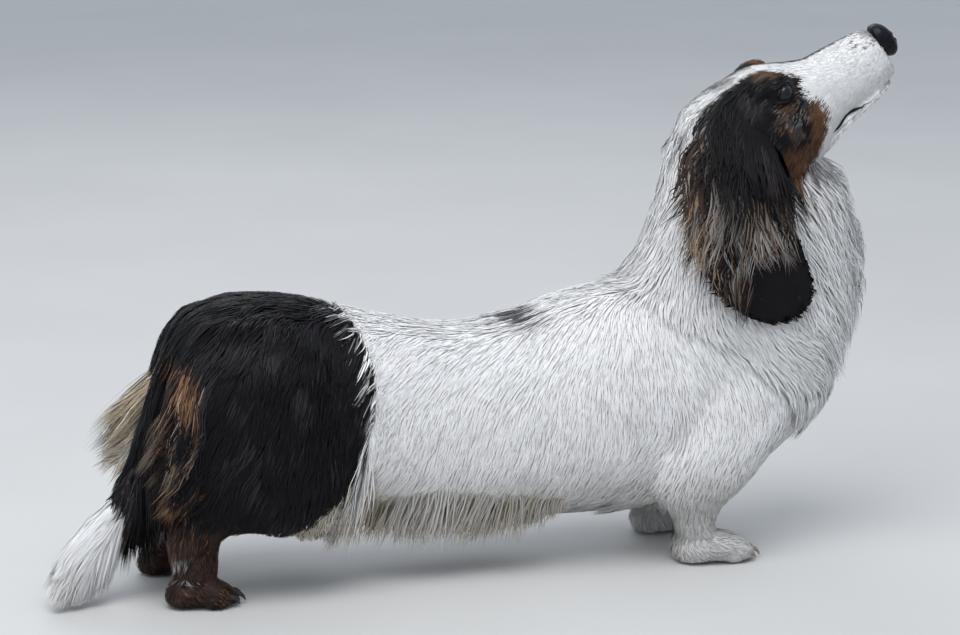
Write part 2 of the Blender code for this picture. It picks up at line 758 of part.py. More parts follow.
class Coat:
    """Flat tapered locks for one piece, set on its surface and fused to it."""

    def __init__(self, core, seed, side=1):
        """Takes the piece to grow on, the seed of its variety and the side of the dog."""
        self.core = core
        self.side = side
        self.tree = BVHTree.FromPolygons(
            [v.co.copy() for v in core.data.vertices], [tuple(p.vertices) for p in core.data.polygons]
        )
        self.draw = np.random.default_rng(seed)
        self.pieces = []

    def vary(self, size, share=SIZE_SPREAD):
        """The size, larger or smaller by up to a share of itself."""
        return size * (1 + share * self.draw.uniform(-1, 1))

    def mirrored(self, vector):
        """A vector drawn for the left side, on this coat's side."""
        return Vector((vector[0], vector[1] * self.side, vector[2]))

    def lock(self, start, towards, lie, length, width, lift, droop=0.0, wave=0.0, sink=LOCK_SINK):
        """Grows one lock where the ray from start meets the piece.

        It leaves along the normal, bends to the lie, sags by droop and sways by wave.
        """
        towards = self.mirrored(towards).normalized()
        hit, normal, _, _ = self.tree.ray_cast(body_place() @ self.mirrored(start), towards)
        if hit is None:
            return
        if normal.dot(towards) > 0:
            normal = -normal
        lie = self.mirrored(lie).normalized()
        lie = (lie - normal * lie.dot(normal) * 0.85).normalized()
        length, width = self.vary(length), self.vary(width)
        across = normal.cross(lie).normalized()
        phase = self.draw.uniform(0, 2 * math.pi)
        spine = []
        for t in LOCK_STEPS:
            out = sink * (min(1.0, t / LOCK_STEPS[1]) - 1) + lift * math.sin(min(1.0, t * 1.15) * math.pi / 2)
            sway = wave * t * math.sin(phase + t * 4.5)
            point = hit + MM * (normal * out + lie * (length * t) + across * sway)
            point.z = max(point.z - droop * t * t * MM, FLOOR_CLEARANCE + LOCK_THICKNESS * 0.5 * MM)
            spine.append(point)
        rings = []
        for i, point in enumerate(spine[:-1]):
            ahead = (spine[i + 1] - spine[max(i - 1, 0)]).normalized()
            wide = (across - ahead * across.dot(ahead)).normalized()
            high = ahead.cross(wide).normalized()
            half_width = width / 2 * LOCK_OUTLINE[i] * MM
            half_thick = LOCK_THICKNESS / 2 * LOCK_OUTLINE[i] * MM
            rings += [point + wide * half_width, point + high * half_thick,
                      point - wide * half_width, point - high * half_thick]
        self.pieces.append(mesh_object("lock", rings + [spine[-1]], lock_faces(len(spine) - 1)))

    def done(self, name):
        """The piece with its locks fused on."""
        return fused(name, [self.core] + self.pieces)


def lock_faces(ring_count):
    """Triangles of a lock: a flat root, four-sided spans and a pointed tip."""
    faces = [(0, 1, 2), (0, 2, 3)]
    for i in range(ring_count - 1):
        for j in range(4):
            a, b = i * 4 + j, i * 4 + (j + 1) % 4
            faces += [(a, a + 4, b), (b, a + 4, b + 4)]
    last = (ring_count - 1) * 4
    faces += [(last + j, ring_count * 4, last + (j + 1) % 4) for j in range(4)]
    return faces


def coat_neck(core):
    """The ruff: tiers of locks down the throat and round both sides of the neck."""
    coat = Coat(core, NECK_SEED)
    for tier, (height, reach, count, length, lift) in enumerate(RUFF_TIERS):
        for i in range(count):
            place = (i + 0.5 * (tier % 2)) / max(count - 0.5, 1)
            turn = math.radians(reach * (2 * place - 1) + coat.draw.uniform(-3, 3))
            out = (math.cos(turn), math.sin(turn), 0)
            start = (225 + 300 * out[0], 300 * out[1], coat.vary(height, 0.01))
            lie = (0.30 * math.cos(turn) - 0.2, 0.30 * math.sin(turn), -1)
            rise = lift * max(math.cos(turn * 0.75), 0.2)
            coat.lock(start, (-out[0], -out[1], 0), lie, length, RUFF_WIDTH, rise, wave=2.5)
    return coat.done("neck")


def coat_torso(core):
    """The fringe along the belly and under the chest."""
    coat = Coat(core, TORSO_SEED)
    for side in (1, -1):
        coat.side = side
        for row, (y, height, first, last, count, length, lift) in enumerate(BELLY_ROWS):
            for i in range(count):
                x = first + (last - first) * (i + 0.3 * row) / count
                coat.lock((x, y, -height), (0, 0, 1), (-0.8, 0.3, -0.6), length, FRINGE_WIDTH, lift,
                          droop=length * 0.35, wave=2)
        y, first, last, count, length, lift = BRISKET_ROW
        for i in range(count):
            x = first + (last - first) * i / (count - 1)
            coat.lock((x, y, -60), (0, 0, 1), (-0.8, 0.2, -0.6), length, FRINGE_WIDTH, lift, droop=6)
    return coat.done("torso")


def coat_leg(nodes, upper, lower, side, seed, rows):
    """Locks behind one leg, each set on the upper or the lower piece by the height it grows from."""
    word = "left" if side > 0 else "right"
    pair = [f"{upper}_{word}", f"{lower}_{word}"]
    for name in pair:
        coat = Coat(nodes[name], seed + side, side)
        for start, towards, lie, length, width, lift, droop in rows:
            coat.lock(start, towards, lie, length, width, lift, droop, wave=2.5)
        nodes[name] = coat.done(name)
    trim(nodes[pair[1]], nodes[pair[0]])
    for name in pair:
        trim(nodes[name], nodes["torso"])


def elbow_rows():
    """The feathering behind the elbow and down the back of the foreleg."""
    return [
        ((-60, y, height), (1, 0, 0), (-0.55, 0.1, -1), length, ELBOW_WIDTH, 5, 3)
        for height, y, length in ELBOW_LOCKS
    ]


def breeches_rows():
    """Long locks down the back of the thigh and hock, and along the thigh's lower edge."""
    rows = [
        ((-420, y, height), (1, 0, 0), (-0.5, 0.12, -1), length, BREECHES_WIDTH, lift, 0)
        for height, y, length, lift in BREECHES_LOCKS
    ]
    first, last, count, y, length = THIGH_EDGE
    for x in np.linspace(first, last, count):
        rows.append(((x, y, 30), (0, 0, 1), (-0.6, 0.15, -0.7), length, 30, 5, length * 0.2))
    return rows


def coat_ear(core, name, side):
    """Long wavy hair on the outside of the ear flap and down its back edge."""
    coat = Coat(core, EAR_SEED + side, side)
    ahead = LEFT_EAR_FORWARD if side > 0 else 0.0
    for height, x, length in EAR_LOCKS:
        coat.lock((x + ahead, 200, height), (0, -1, 0), (-0.2, 0.05, -1), length, EAR_LOCK_WIDTH, 4,
                  wave=5, sink=2.4)
    for height, length in EAR_FRINGE:
        y = 65 - 0.2 * max(0, height - 300) - (4 if side > 0 else 0)
        coat.lock((60, y, height), (1, 0, 0), (-0.35, 0.1, -1), length, 18, 8, wave=4, sink=9)
    return coat.done(name)


def coat_tail(core):
    """The flag: hair that hangs from the tail and sweeps on past its end."""
    coat = Coat(core, TAIL_SEED)
    path = along(TAIL, 101)
    middle = np.stack([path[:, 0] + path[:, 2], 2 * path[:, 4], path[:, 1] + path[:, 3]], 1) / 2
    for row, (share, length, droop) in enumerate(TAIL_ROWS):
        i = int(share * 100)
        centre = Vector(middle[i])
        along_tail = Vector(middle[min(i + 3, 100)] - middle[i - 3]).normalized()
        side_way = Vector((0, 1, 0))
        upward = side_way.cross(along_tail).normalized()
        if upward.x > 0:
            upward = -upward
        for turn in TAIL_TURNS:
            a = math.radians(turn + 35 * (row % 2))
            out = upward * math.cos(a) + side_way * math.sin(a)
            lie = along_tail * (0.6 + share) + out * 0.25 * share + Vector((0, 0, -0.6))
            coat.lock(centre + out * 80, -out, lie, length, TAIL_WIDTH, 6, droop=droop, wave=3, sink=5)
    return coat.done("tail")


def tidy_faces(obj):
    """Joins the slivers that cutting leaves in a flat face, and makes triangles again."""
    work = bmesh.new()
    work.from_mesh(obj.data)
    bmesh.ops.dissolve_limit(
        work, angle_limit=math.radians(TIDY_ANGLE), use_dissolve_boundaries=False,
        verts=work.verts, edges=work.edges, delimit=set(),
    )
    bmesh.ops.triangulate(work, faces=work.faces)
    work.to_mesh(obj.data)
    work.free()
    return obj


def finish(nodes):
    """Centres each node and gives it its material and smooth shading."""
    finishes = {
        "white_coat": material("white_coat", WHITE, 0.75),
        "dark_coat": material("dark_coat", BLACK_BROWN, 0.6),
        "nose_leather": material("nose_leather", NOSE_BLACK, 0.35),
        "eye_surface": material("eye_surface", NOSE_BLACK, 0.05),
    }
    for name, obj in nodes.items():
        slot = "white_coat"
        if name.startswith(("thigh", "hind_leg", "ear", "tail")):
            slot = "dark_coat"
        if name == "nose":
            slot = "nose_leather"
        if name.startswith("eye"):
            slot = "eye_surface"
        obj.name = name
        obj.data.materials.clear()
        obj.data.materials.append(finishes[slot])
        obj.data.transform(Matrix.Translation((CENTRING * MM, 0, 0)))
        obj.data.shade_smooth()
        obj.data.set_sharp_from_angle(angle=math.radians(40))


def main():
    """Builds the flesh and its parts, then grows the coat on them and cuts each clear of the next."""
    clear_scene()
    body = fine_body()
    nodes = make_body_nodes(body)
    drop(body)
    head = fine_head()
    nodes.update(make_head_nodes(head))
    drop(head)
    tail = trim(form("tail", TAIL, body_place(), count=22, sides=12, power=2.0), nodes["torso"])
    for side, word in ((1, "left"), (-1, "right")):
        name = f"ear_{word}"
        ear = trim(make_ear(side), nodes["head"], nodes["neck"])
        nodes[name] = trim(coat_ear(ear, name, side), nodes["head"], nodes["neck"])
    for side, word in ((1, "left"), (-1, "right")):
        for name, at_x, y in (("foreleg", FORE_TOES_X, 52), ("hind_leg", HIND_TOES_X, 51)):
            name = f"{name}_{word}"
            nodes[name] = fused(name, [nodes[name]] + claws(at_x, side, y))
    nodes["torso"] = coat_torso(nodes["torso"])
    legs = [name for name in nodes if name.startswith(("shoulder", "foreleg", "thigh", "hind_leg"))]
    trim(nodes["torso"], *[nodes[name] for name in legs], nodes["neck"])
    for side in (1, -1):
        coat_leg(nodes, "shoulder", "foreleg", side, ELBOW_SEED, elbow_rows())
        coat_leg(nodes, "thigh", "hind_leg", side, BREECHES_SEED, breeches_rows())
    around_tail = ["torso"] + [name for name in legs if name.startswith(("thigh", "hind_leg"))]
    nodes["tail"] = trim(coat_tail(tail), *[nodes[name] for name in around_tail])
    around_neck = ("torso", "head", "ear_left", "ear_right", "shoulder_left", "shoulder_right")
    nodes["neck"] = trim(coat_neck(nodes["neck"]), *[nodes[name] for name in around_neck])
    for obj in nodes.values():
        keep_largest(tidy_faces(obj))
    finish(nodes)


main()
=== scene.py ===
"""The looks of a long-haired, piebald dachshund that stands with its head raised.

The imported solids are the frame. One skin lies inside them by the depth of the coat, with its
head and paws sculpted, and tufts of hair grow on it along the lie of the coat. Eyes, lids,
nose, lips and claws are pieces of their own. Drawn sizes are millimetres: +X towards the nose,
+Y the dog's left and +Z up, and in the head's own frame u forward, w left and v up.
"""

import logging
import math
from dataclasses import dataclass, field
from enum import Enum
from functools import cache

import bpy
import numpy as np
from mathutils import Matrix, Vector


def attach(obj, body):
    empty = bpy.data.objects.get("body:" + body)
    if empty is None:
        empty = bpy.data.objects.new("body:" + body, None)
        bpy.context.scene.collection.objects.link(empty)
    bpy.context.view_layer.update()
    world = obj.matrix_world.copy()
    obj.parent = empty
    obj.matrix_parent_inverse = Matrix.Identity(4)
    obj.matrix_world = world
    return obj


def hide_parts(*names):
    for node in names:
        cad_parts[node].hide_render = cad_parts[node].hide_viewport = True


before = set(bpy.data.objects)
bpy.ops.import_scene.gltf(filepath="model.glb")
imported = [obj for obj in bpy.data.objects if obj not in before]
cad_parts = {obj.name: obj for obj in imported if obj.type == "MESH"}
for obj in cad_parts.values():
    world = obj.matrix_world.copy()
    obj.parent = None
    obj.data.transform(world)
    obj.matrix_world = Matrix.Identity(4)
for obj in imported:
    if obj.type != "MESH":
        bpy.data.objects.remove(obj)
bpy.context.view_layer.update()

Array = np.ndarray
Surface = tuple[Array, Array]  # points (n, 3) in drawn millimetres, triangles (m, 3)
Point = tuple[float, float, float]
Colour = tuple[float, float, float]
Rows = tuple[tuple[float, ...], ...]
Object = bpy.types.Object
Node = bpy.types.Node
Socket = bpy.types.NodeSocket
Inputs = dict[str | int, object]  # for each input a value, or a socket to link

MM = 0.001
SHIFT = np.array([2.1, -1.1, 0.0])  # from the drawing to the frame, whose box is centred
SIDES = {"left": 1, "right": -1}
log = logging.getLogger("dachshund")


def unit(vectors: Array) -> Array:
    """Vectors of length one: each row over its own length."""
    return vectors / np.maximum(np.linalg.norm(vectors, axis=-1, keepdims=True), 1e-9)


def ease(low: float, high: float, values: Array) -> Array:
    """0 below low, 1 above high, and the cubic 3t^2 - 2t^3 between them."""
    t = np.clip((values - low) / (high - low), 0.0, 1.0)
    return t * t * (3 - 2 * t)


def mix(first: Array, second: Array, share: Array) -> Array:
    """first where share is 0, second where it is 1, in a straight line between."""
    return first + (second - first) * share


def waves(points: Array, size: float, seed: int) -> Array:
    """Smooth noise of about -1 to 1: sines along eight random directions, summed.

    Args:
        points: places (n, 3) in millimetres.
        size: millimetres from crest to crest.
        seed: which pattern.

    Returns:
        One value for each place.
    """
    draw = np.random.default_rng(seed)
    count = 8
    way = unit(draw.normal(size=(count, 3))) * draw.uniform(0.7, 1.5, (count, 1))
    phase = draw.uniform(0, 2 * math.pi, count)
    return np.sin(points @ way.T * (2 * math.pi / size) + phase).sum(1) / count * 2


@dataclass(frozen=True)
class Place:
    """A drawing frame: a turn and a pivot within the body's drawing."""

    pitch: float = 0.0
    yaw: float = 0.0
    roll: float = 0.0
    pivot: Point = (0.0, 0.0, 0.0)

    def turn(self) -> Array:
        """The 3 x 3 turn: roll about u, then the nose lifted by pitch, then yaw about the upright.

        Returns:
            The turn's matrix.
        """
        a, b, c = (math.radians(angle) for angle in (self.yaw, -self.pitch, self.roll))
        yaw = [[math.cos(a), -math.sin(a), 0], [math.sin(a), math.cos(a), 0], [0, 0, 1]]
        pitch = [[math.cos(b), 0, math.sin(b)], [0, 1, 0], [-math.sin(b), 0, math.cos(b)]]
        roll = [[1, 0, 0], [0, math.cos(c), -math.sin(c)], [0, math.sin(c), math.cos(c)]]
        return np.array(yaw) @ np.array(pitch) @ np.array(roll)

    def out(self, points: Array) -> Array:
        """Points of this frame in the body's drawing."""
        return points @ self.turn().T + np.array(self.pivot)

    def back(self, points: Array) -> Array:
        """Points of the body's drawing in this frame."""
        return (points - np.array(self.pivot)) @ self.turn()

    def out_way(self, ways: Array) -> Array:
        """Directions of this frame in the body's drawing."""
        return ways @ self.turn().T


BODY = Place()
HEAD = Place(pitch=30.5, yaw=-8.0, roll=5.0, pivot=(207.0, 0.0, 345.0))


def spline(knots: Array, values: Array, at: Array) -> Array:
    """A smooth curve through values at knots: cubic pieces whose slopes come from the neighbours.

    Args:
        knots: where the values hold, rising.
        values: one row for each knot.
        at: where the curve is read.

    Returns:
        One row for each place in at.
    """
    slopes = np.gradient(values, knots, axis=0)
    low = np.clip(np.searchsorted(knots, at, side="right") - 1, 0, len(knots) - 2)
    step = (knots[low + 1] - knots[low])[:, None]
    t = (at - knots[low])[:, None] / step
    rise = values[low] * (1 + 2 * t) * (1 - t) ** 2 + slopes[low] * step * t * (1 - t) ** 2
    return rise + values[low + 1] * t * t * (3 - 2 * t) + slopes[low + 1] * step * t * t * (t - 1)


def along(table: Array, middle: Array, count: int, trim: float = 0.0) -> Array:
    """The rows of a table resampled evenly by the length of its middle line.

    Args:
        table: one row of sizes for each station.
        middle: the middle line's point at each station.
        count: how many rows come out.
        trim: millimetres left off at each end.

    Returns:
        The resampled rows (count, columns).
    """
    knots = np.concatenate([[0], np.cumsum(np.linalg.norm(np.diff(middle, axis=0), axis=1))])
    return spline(knots, table, np.linspace(trim, knots[-1] - trim, count))


def spans(rings: int, sides: int, closed: bool = False) -> Array:
    """Two triangles between each pair of neighbours on a grid of rings.

    Args:
        rings: how many rings.
        sides: how many points on each.
        closed: whether the last ring meets the first.

    Returns:
        The triangles (n, 3).
    """
    i, j = np.meshgrid(np.arange(rings - (not closed)), np.arange(sides), indexing="ij")
    a, b = i * sides + j, i * sides + (j + 1) % sides
    c, d = (a + sides) % (rings * sides), (b + sides) % (rings * sides)
    return np.stack([a, b, d, a, d, c], -1).reshape(-1, 3)


def tube(grid: Array) -> Surface:
    """A closed surface from a grid of rings: spans between the rings and a fan at each end.

    Args:
        grid: points (rings, sides, 3).

    Returns:
        The surface.
    """
    count, sides = grid.shape[:2]
    ring = np.arange(sides)
    after = (ring + 1) % sides
    start = np.stack([after, ring, 0 * ring + count * sides], -1)
    base = (count - 1) * sides
    end = np.stack([ring + base, after + base, 0 * ring + count * sides + 1], -1)
    points = np.concatenate([grid.reshape(-1, 3), grid[:1].mean(1), grid[-1:].mean(1)])
    return outward(points, np.concatenate([spans(count, sides), start, end]))


def loop_tube(grid: Array) -> Surface:
    """A ring-shaped surface from a grid of rings whose last ring meets the first."""
    return outward(grid.reshape(-1, 3), spans(*grid.shape[:2], closed=True))


def sweep(middle: Array, radius: Array, first: Array, second: Array, sides: int) -> Array:
    """Rings around a line: middle + radius (first cos a + second sin a).

    Args:
        middle: the line's points (n, 3).
        radius: one radius for each.
        first: the way to a ring's first point, (n, 3) or (1, 3).
        second: the way to the point a quarter round.
        sides: points on a ring.

    Returns:
        The grid of rings (n, sides, 3).
    """
    ring = np.linspace(0, 2 * math.pi, sides, endpoint=False)[None, :, None]
    around = np.cos(ring) * first[:, None] + np.sin(ring) * second[:, None]
    return middle[:, None] + radius[:, None, None] * around


def outward(points: Array, faces: Array) -> Surface:
    """The same closed surface with its faces turned outwards, by the sign of its volume.

    Args:
        points: the surface's points.
        faces: its triangles.

    Returns:
        The surface.
    """
    a, b, c = (points[faces[:, k]] for k in range(3))
    volume = np.einsum("ij,ij->i", a, np.cross(b, c)).sum()
    return (points, faces if volume > 0 else faces[:, ::-1])


def joined(parts: list[Surface]) -> Surface:
    """Several surfaces as one list of points and faces.

    Args:
        parts: the surfaces.

    Returns:
        All their points and faces.
    """
    offsets = np.cumsum([0] + [len(points) for points, _ in parts])
    faces = [faces + offset for (_, faces), offset in zip(parts, offsets)]
    return np.concatenate([points for points, _ in parts]), np.concatenate(faces)


def rounded(angle: Array, power: float) -> tuple[Array, Array]:
    """Cosine and sine of a superellipse: each raised to 2 / power with its sign kept."""
    shape = [np.sign(f(angle)) * np.abs(f(angle)) ** (2 / power) for f in (np.cos, np.sin)]
    return shape[0], shape[1]


def make_object(name: str, surface: Surface) -> Object:
    """A new object, at the origin, from points drawn in the body's millimetres.

    Args:
        name: the object's name.
        surface: its points and triangles.

    Returns:
        The object.
    """
    points, faces = surface
    mesh = bpy.data.meshes.new(name)
    mesh.vertices.add(len(points))
    mesh.vertices.foreach_set("co", ((points + SHIFT) * MM).astype(np.float32).ravel())
    mesh.loops.add(faces.size)
    mesh.loops.foreach_set("vertex_index", faces.astype(np.int32).ravel())
    mesh.polygons.add(len(faces))
    mesh.polygons.foreach_set("loop_start", np.arange(0, faces.size, 3, dtype=np.int32))
    mesh.update(calc_edges=True)
    mesh.shade_smooth()
    obj = bpy.data.objects.new(name, mesh)
    bpy.context.scene.collection.objects.link(obj)
    return obj


def discard(obj: Object) -> None:
    """Removes an object and its mesh.

    Args:
        obj: the object.
    """
    mesh = obj.data
    bpy.data.objects.remove(obj)
    bpy.data.meshes.remove(mesh)


def applied(obj: Object) -> Surface:
    """What an object's modifiers make of it, as drawn points and triangles; the object is removed.

    Args:
        obj: the object.

    Returns:
        Its surface.
    """
    graph = bpy.context.evaluated_depsgraph_get()
    mesh = bpy.data.meshes.new_from_object(obj.evaluated_get(graph))
    mesh.calc_loop_triangles()
    points = np.empty(len(mesh.vertices) * 3)
    mesh.vertices.foreach_get("co", points)
    faces = np.empty(len(mesh.loop_triangles) * 3, np.int32)
    mesh.loop_triangles.foreach_get("vertices", faces)
    bpy.data.meshes.remove(mesh)
    discard(obj)
    return points.reshape(-1, 3) / MM - SHIFT, faces.reshape(-1, 3)


def melted(parts: list[Surface], voxel: float, rounds: int) -> Surface:
    """Overlapping closed surfaces as one smooth skin, remeshed on a grid and eased.

    Args:
        parts: the closed surfaces.
        voxel: the grid's cell, in millimetres.
        rounds: how many times each point moves towards its neighbours.

    Returns:
        The skin's surface.
    """
    obj = make_object("melt", joined(parts))
    grid = obj.modifiers.new("grid", "REMESH")
    grid.mode, grid.voxel_size = "VOXEL", voxel * MM
    smooth = obj.modifiers.new("ease", "SMOOTH")
    smooth.factor, smooth.iterations = 0.5, rounds
    return applied(obj)


def united(parts: list[Surface]) -> Surface:
    """Closed surfaces joined into one by a Boolean union.

    Args:
        parts: the closed surfaces.

    Returns:
        The one surface.
    """
    base = make_object("union", parts[0])
    group = bpy.data.collections.new("union_pieces")
    bpy.context.scene.collection.children.link(group)
    others = [make_object(f"union_{i}", part) for i, part in enumerate(parts[1:])]
    for other in others:
        bpy.context.scene.collection.objects.unlink(other)
        group.objects.link(other)
    step = base.modifiers.new("join", "BOOLEAN")
    step.operation, step.solver = "UNION", "MANIFOLD"
    step.operand_type, step.collection = "COLLECTION", group
    result = applied(base)
    for other in others:
        discard(other)
    bpy.data.collections.remove(group)
    return result


def corner_normals(surface: Surface) -> Array:
    """The unit normal at each point: the sum of its faces' area vectors.

    Args:
        surface: points and triangles.

    Returns:
        Normals (n, 3).
    """
    points, faces = surface
    a, b, c = (points[faces[:, k]] for k in range(3))
    area = np.cross(b - a, c - a)
    total = np.zeros_like(points)
    for k in range(3):
        for axis in range(3):
            total[:, axis] += np.bincount(faces[:, k], area[:, axis], len(points))
    return unit(total)


@dataclass(frozen=True)
class Loft:
    """A form drawn as stations (x1, z1, x2, z2, y, half width).

    Each station gives two opposite edge points of a ring in the side view, the ring's middle
    across the body and its half width. The ring between them is a superellipse.
    """

    stations: Rows
    depth: tuple[float, float] = (0.0, 0.0)  # how far the skin lies inside, at each end
    rings: int = 40
    sides: int = 40
    power: float = 2.25

    def rows(self, count: int, trim: float = 0.0) -> Array:
        """The stations resampled evenly along the middle line.

        Args:
            count: how many rows.
            trim: millimetres left off at each end.

        Returns:
            The rows (count, 6).
        """
        table = np.array(self.stations, float)
        middle = np.stack([table[:, 0] + table[:, 2], table[:, 1] + table[:, 3], 2 * table[:, 4]], 1) / 2
        return along(table, middle, count, trim)

    def surface(self, place: Place = BODY, side: int = 1) -> Surface:
        """The closed form at the skin's depth, on one side of the body.

        Args:
            place: the frame that the stations are drawn in.
            side: 1 left, -1 right.

        Returns:
            The surface, in the body's drawing.
        """
        rows = self.rows(self.rings, max(self.depth) * 0.8)
        depth = np.linspace(*self.depth, self.rings)
        across, upward = rounded(np.linspace(0, 2 * math.pi, self.sides, endpoint=False), self.power)
        middle = np.stack([rows[:, 0] + rows[:, 2], 2 * side * rows[:, 4], rows[:, 1] + rows[:, 3]], 1) / 2
        half = np.stack([rows[:, 0] - rows[:, 2], np.zeros(len(rows)), rows[:, 1] - rows[:, 3]], 1) / 2
        reach = np.linalg.norm(half, axis=1)
        half *= np.maximum(1 - depth / reach, 0.15)[:, None]
        width = np.maximum(rows[:, 5] - depth, 1.0)
        grid = middle[:, None] + upward[None, :, None] * half[:, None]
        grid[:, :, 1] += across * width[:, None]
        return tube(place.out(grid.reshape(-1, 3)).reshape(grid.shape))


def ball(centre: Point, size: Point, place: Place) -> Surface:
    """An ellipsoid: rings of latitude from pole to pole.

    Args:
        centre: its middle.
        size: its three half axes.
        place: the frame that it is drawn in.

    Returns:
        The closed surface.
    """
    latitude = np.linspace(-1, 1, 18)[1:-1, None] * math.pi / 2
    angle = np.linspace(0, 2 * math.pi, 20, endpoint=False)[None, :]
    grid = np.stack([
        np.cos(latitude) * np.cos(angle), np.cos(latitude) * np.sin(angle),
        np.sin(latitude) * np.ones_like(angle),
    ], -1)
    return tube(place.out((grid * np.array(size) + np.array(centre)).reshape(-1, 3)).reshape(grid.shape))


@dataclass
class EarFlap:
    """One hanging ear: a thin curved plate with a rounded rim.

    A row gives the middle line (x, y, z), the half width along the dog and the outward bow.
    """

    side: int
    rows: Rows = (
        (216, 24, 386, 12, 0), (208, 37, 370, 24, 0), (199, 51, 343, 36, 3), (203, 60, 309, 38, 5),
        (209, 64, 280, 38, 5), (216, 66, 252, 42, 5), (222.5, 66, 229, 41.5, 4),
        (231.5, 65, 212, 28, 2), (234.5, 64.7, 205.5, 18.5, 1), (234, 64.5, 202, 7, 0.5),
    )
    thickness: float = 3.4
    forward: float = 24.0  # the turned head carries the left ear along
    inward: float = 9.0
    counts: tuple[int, int] = (44, 48)

    def placed(self, count: int) -> Array:
        """The rows resampled, and moved with the turned head on the left side.

        Args:
            count: how many rows.

        Returns:
            The rows (count, 5).
        """
        table = np.array(self.rows, float)
        rows = along(table, table[:, :3], count)
        if self.side > 0:
            rows[:, 0] += self.forward
            rows[:, 1] -= self.inward * np.clip(1 - np.linspace(0, 1, count) * 1.75, 0, 1)
        return rows

    def surface(self) -> Surface:
        """The plate: x = middle + width cos a, y = middle + thickness |sin a|^0.7 + bow sin^2 a.

        Returns:
            The closed surface.
        """
        count, sides = self.counts
        rows = self.placed(count)
        angle = np.linspace(0, 2 * math.pi, sides, endpoint=False)
        plate = self.thickness / 2 * np.sign(np.sin(angle)) * np.abs(np.sin(angle)) ** 0.7
        ripple = 1.3 * np.sin(rows[:, 2:3] / 9.0 + 1.4 * np.cos(angle) * 2) * (1 - np.sin(angle) ** 4)
        x = rows[:, 0:1] + rows[:, 3:4] * np.cos(angle)
        y = self.side * (rows[:, 1:2] + plate + rows[:, 4:5] * np.sin(angle) ** 2 + ripple)
        return tube(np.stack([x, y, np.broadcast_to(rows[:, 2:3], x.shape)], -1))

    def bottom(self, x: Array) -> Array:
        """The height of the flap's lower edge: the lowest row whose width reaches each x.

        Args:
            x: places along the dog.

        Returns:
            The height at each.
        """
        rows = self.placed(60)
        reached = np.abs(x[:, None] - rows[None, :, 0]) < rows[None, :, 3] + 1.0
        return np.where(reached, rows[None, :, 2], 400.0).min(1)

    def covers(self, points: Array, margin: float = 2.0) -> Array:
        """True where a point lies on the flap: within its outline and close to its plate.

        Args:
            points: places (n, 3) in the body's drawing.
            margin: millimetres around the flap that still count.

        Returns:
            One truth for each place.
        """
        rows = self.placed(60)[::-1]
        middle, y, width, bow = (np.interp(points[:, 2], rows[:, 2], rows[:, k]) for k in (0, 1, 3, 4))
        share = np.clip((points[:, 0] - middle) / np.maximum(width, 1), -1, 1)
        plate = y + bow * (1 - share**2)
        inside = np.abs(points[:, 0] - middle) < width + margin
        upright = (points[:, 2] > rows[0, 2] - margin) & (points[:, 2] < rows[-1, 2] + margin)
        return inside & upright & (np.abs(points[:, 1] * self.side - plate) < self.thickness / 2 + margin)


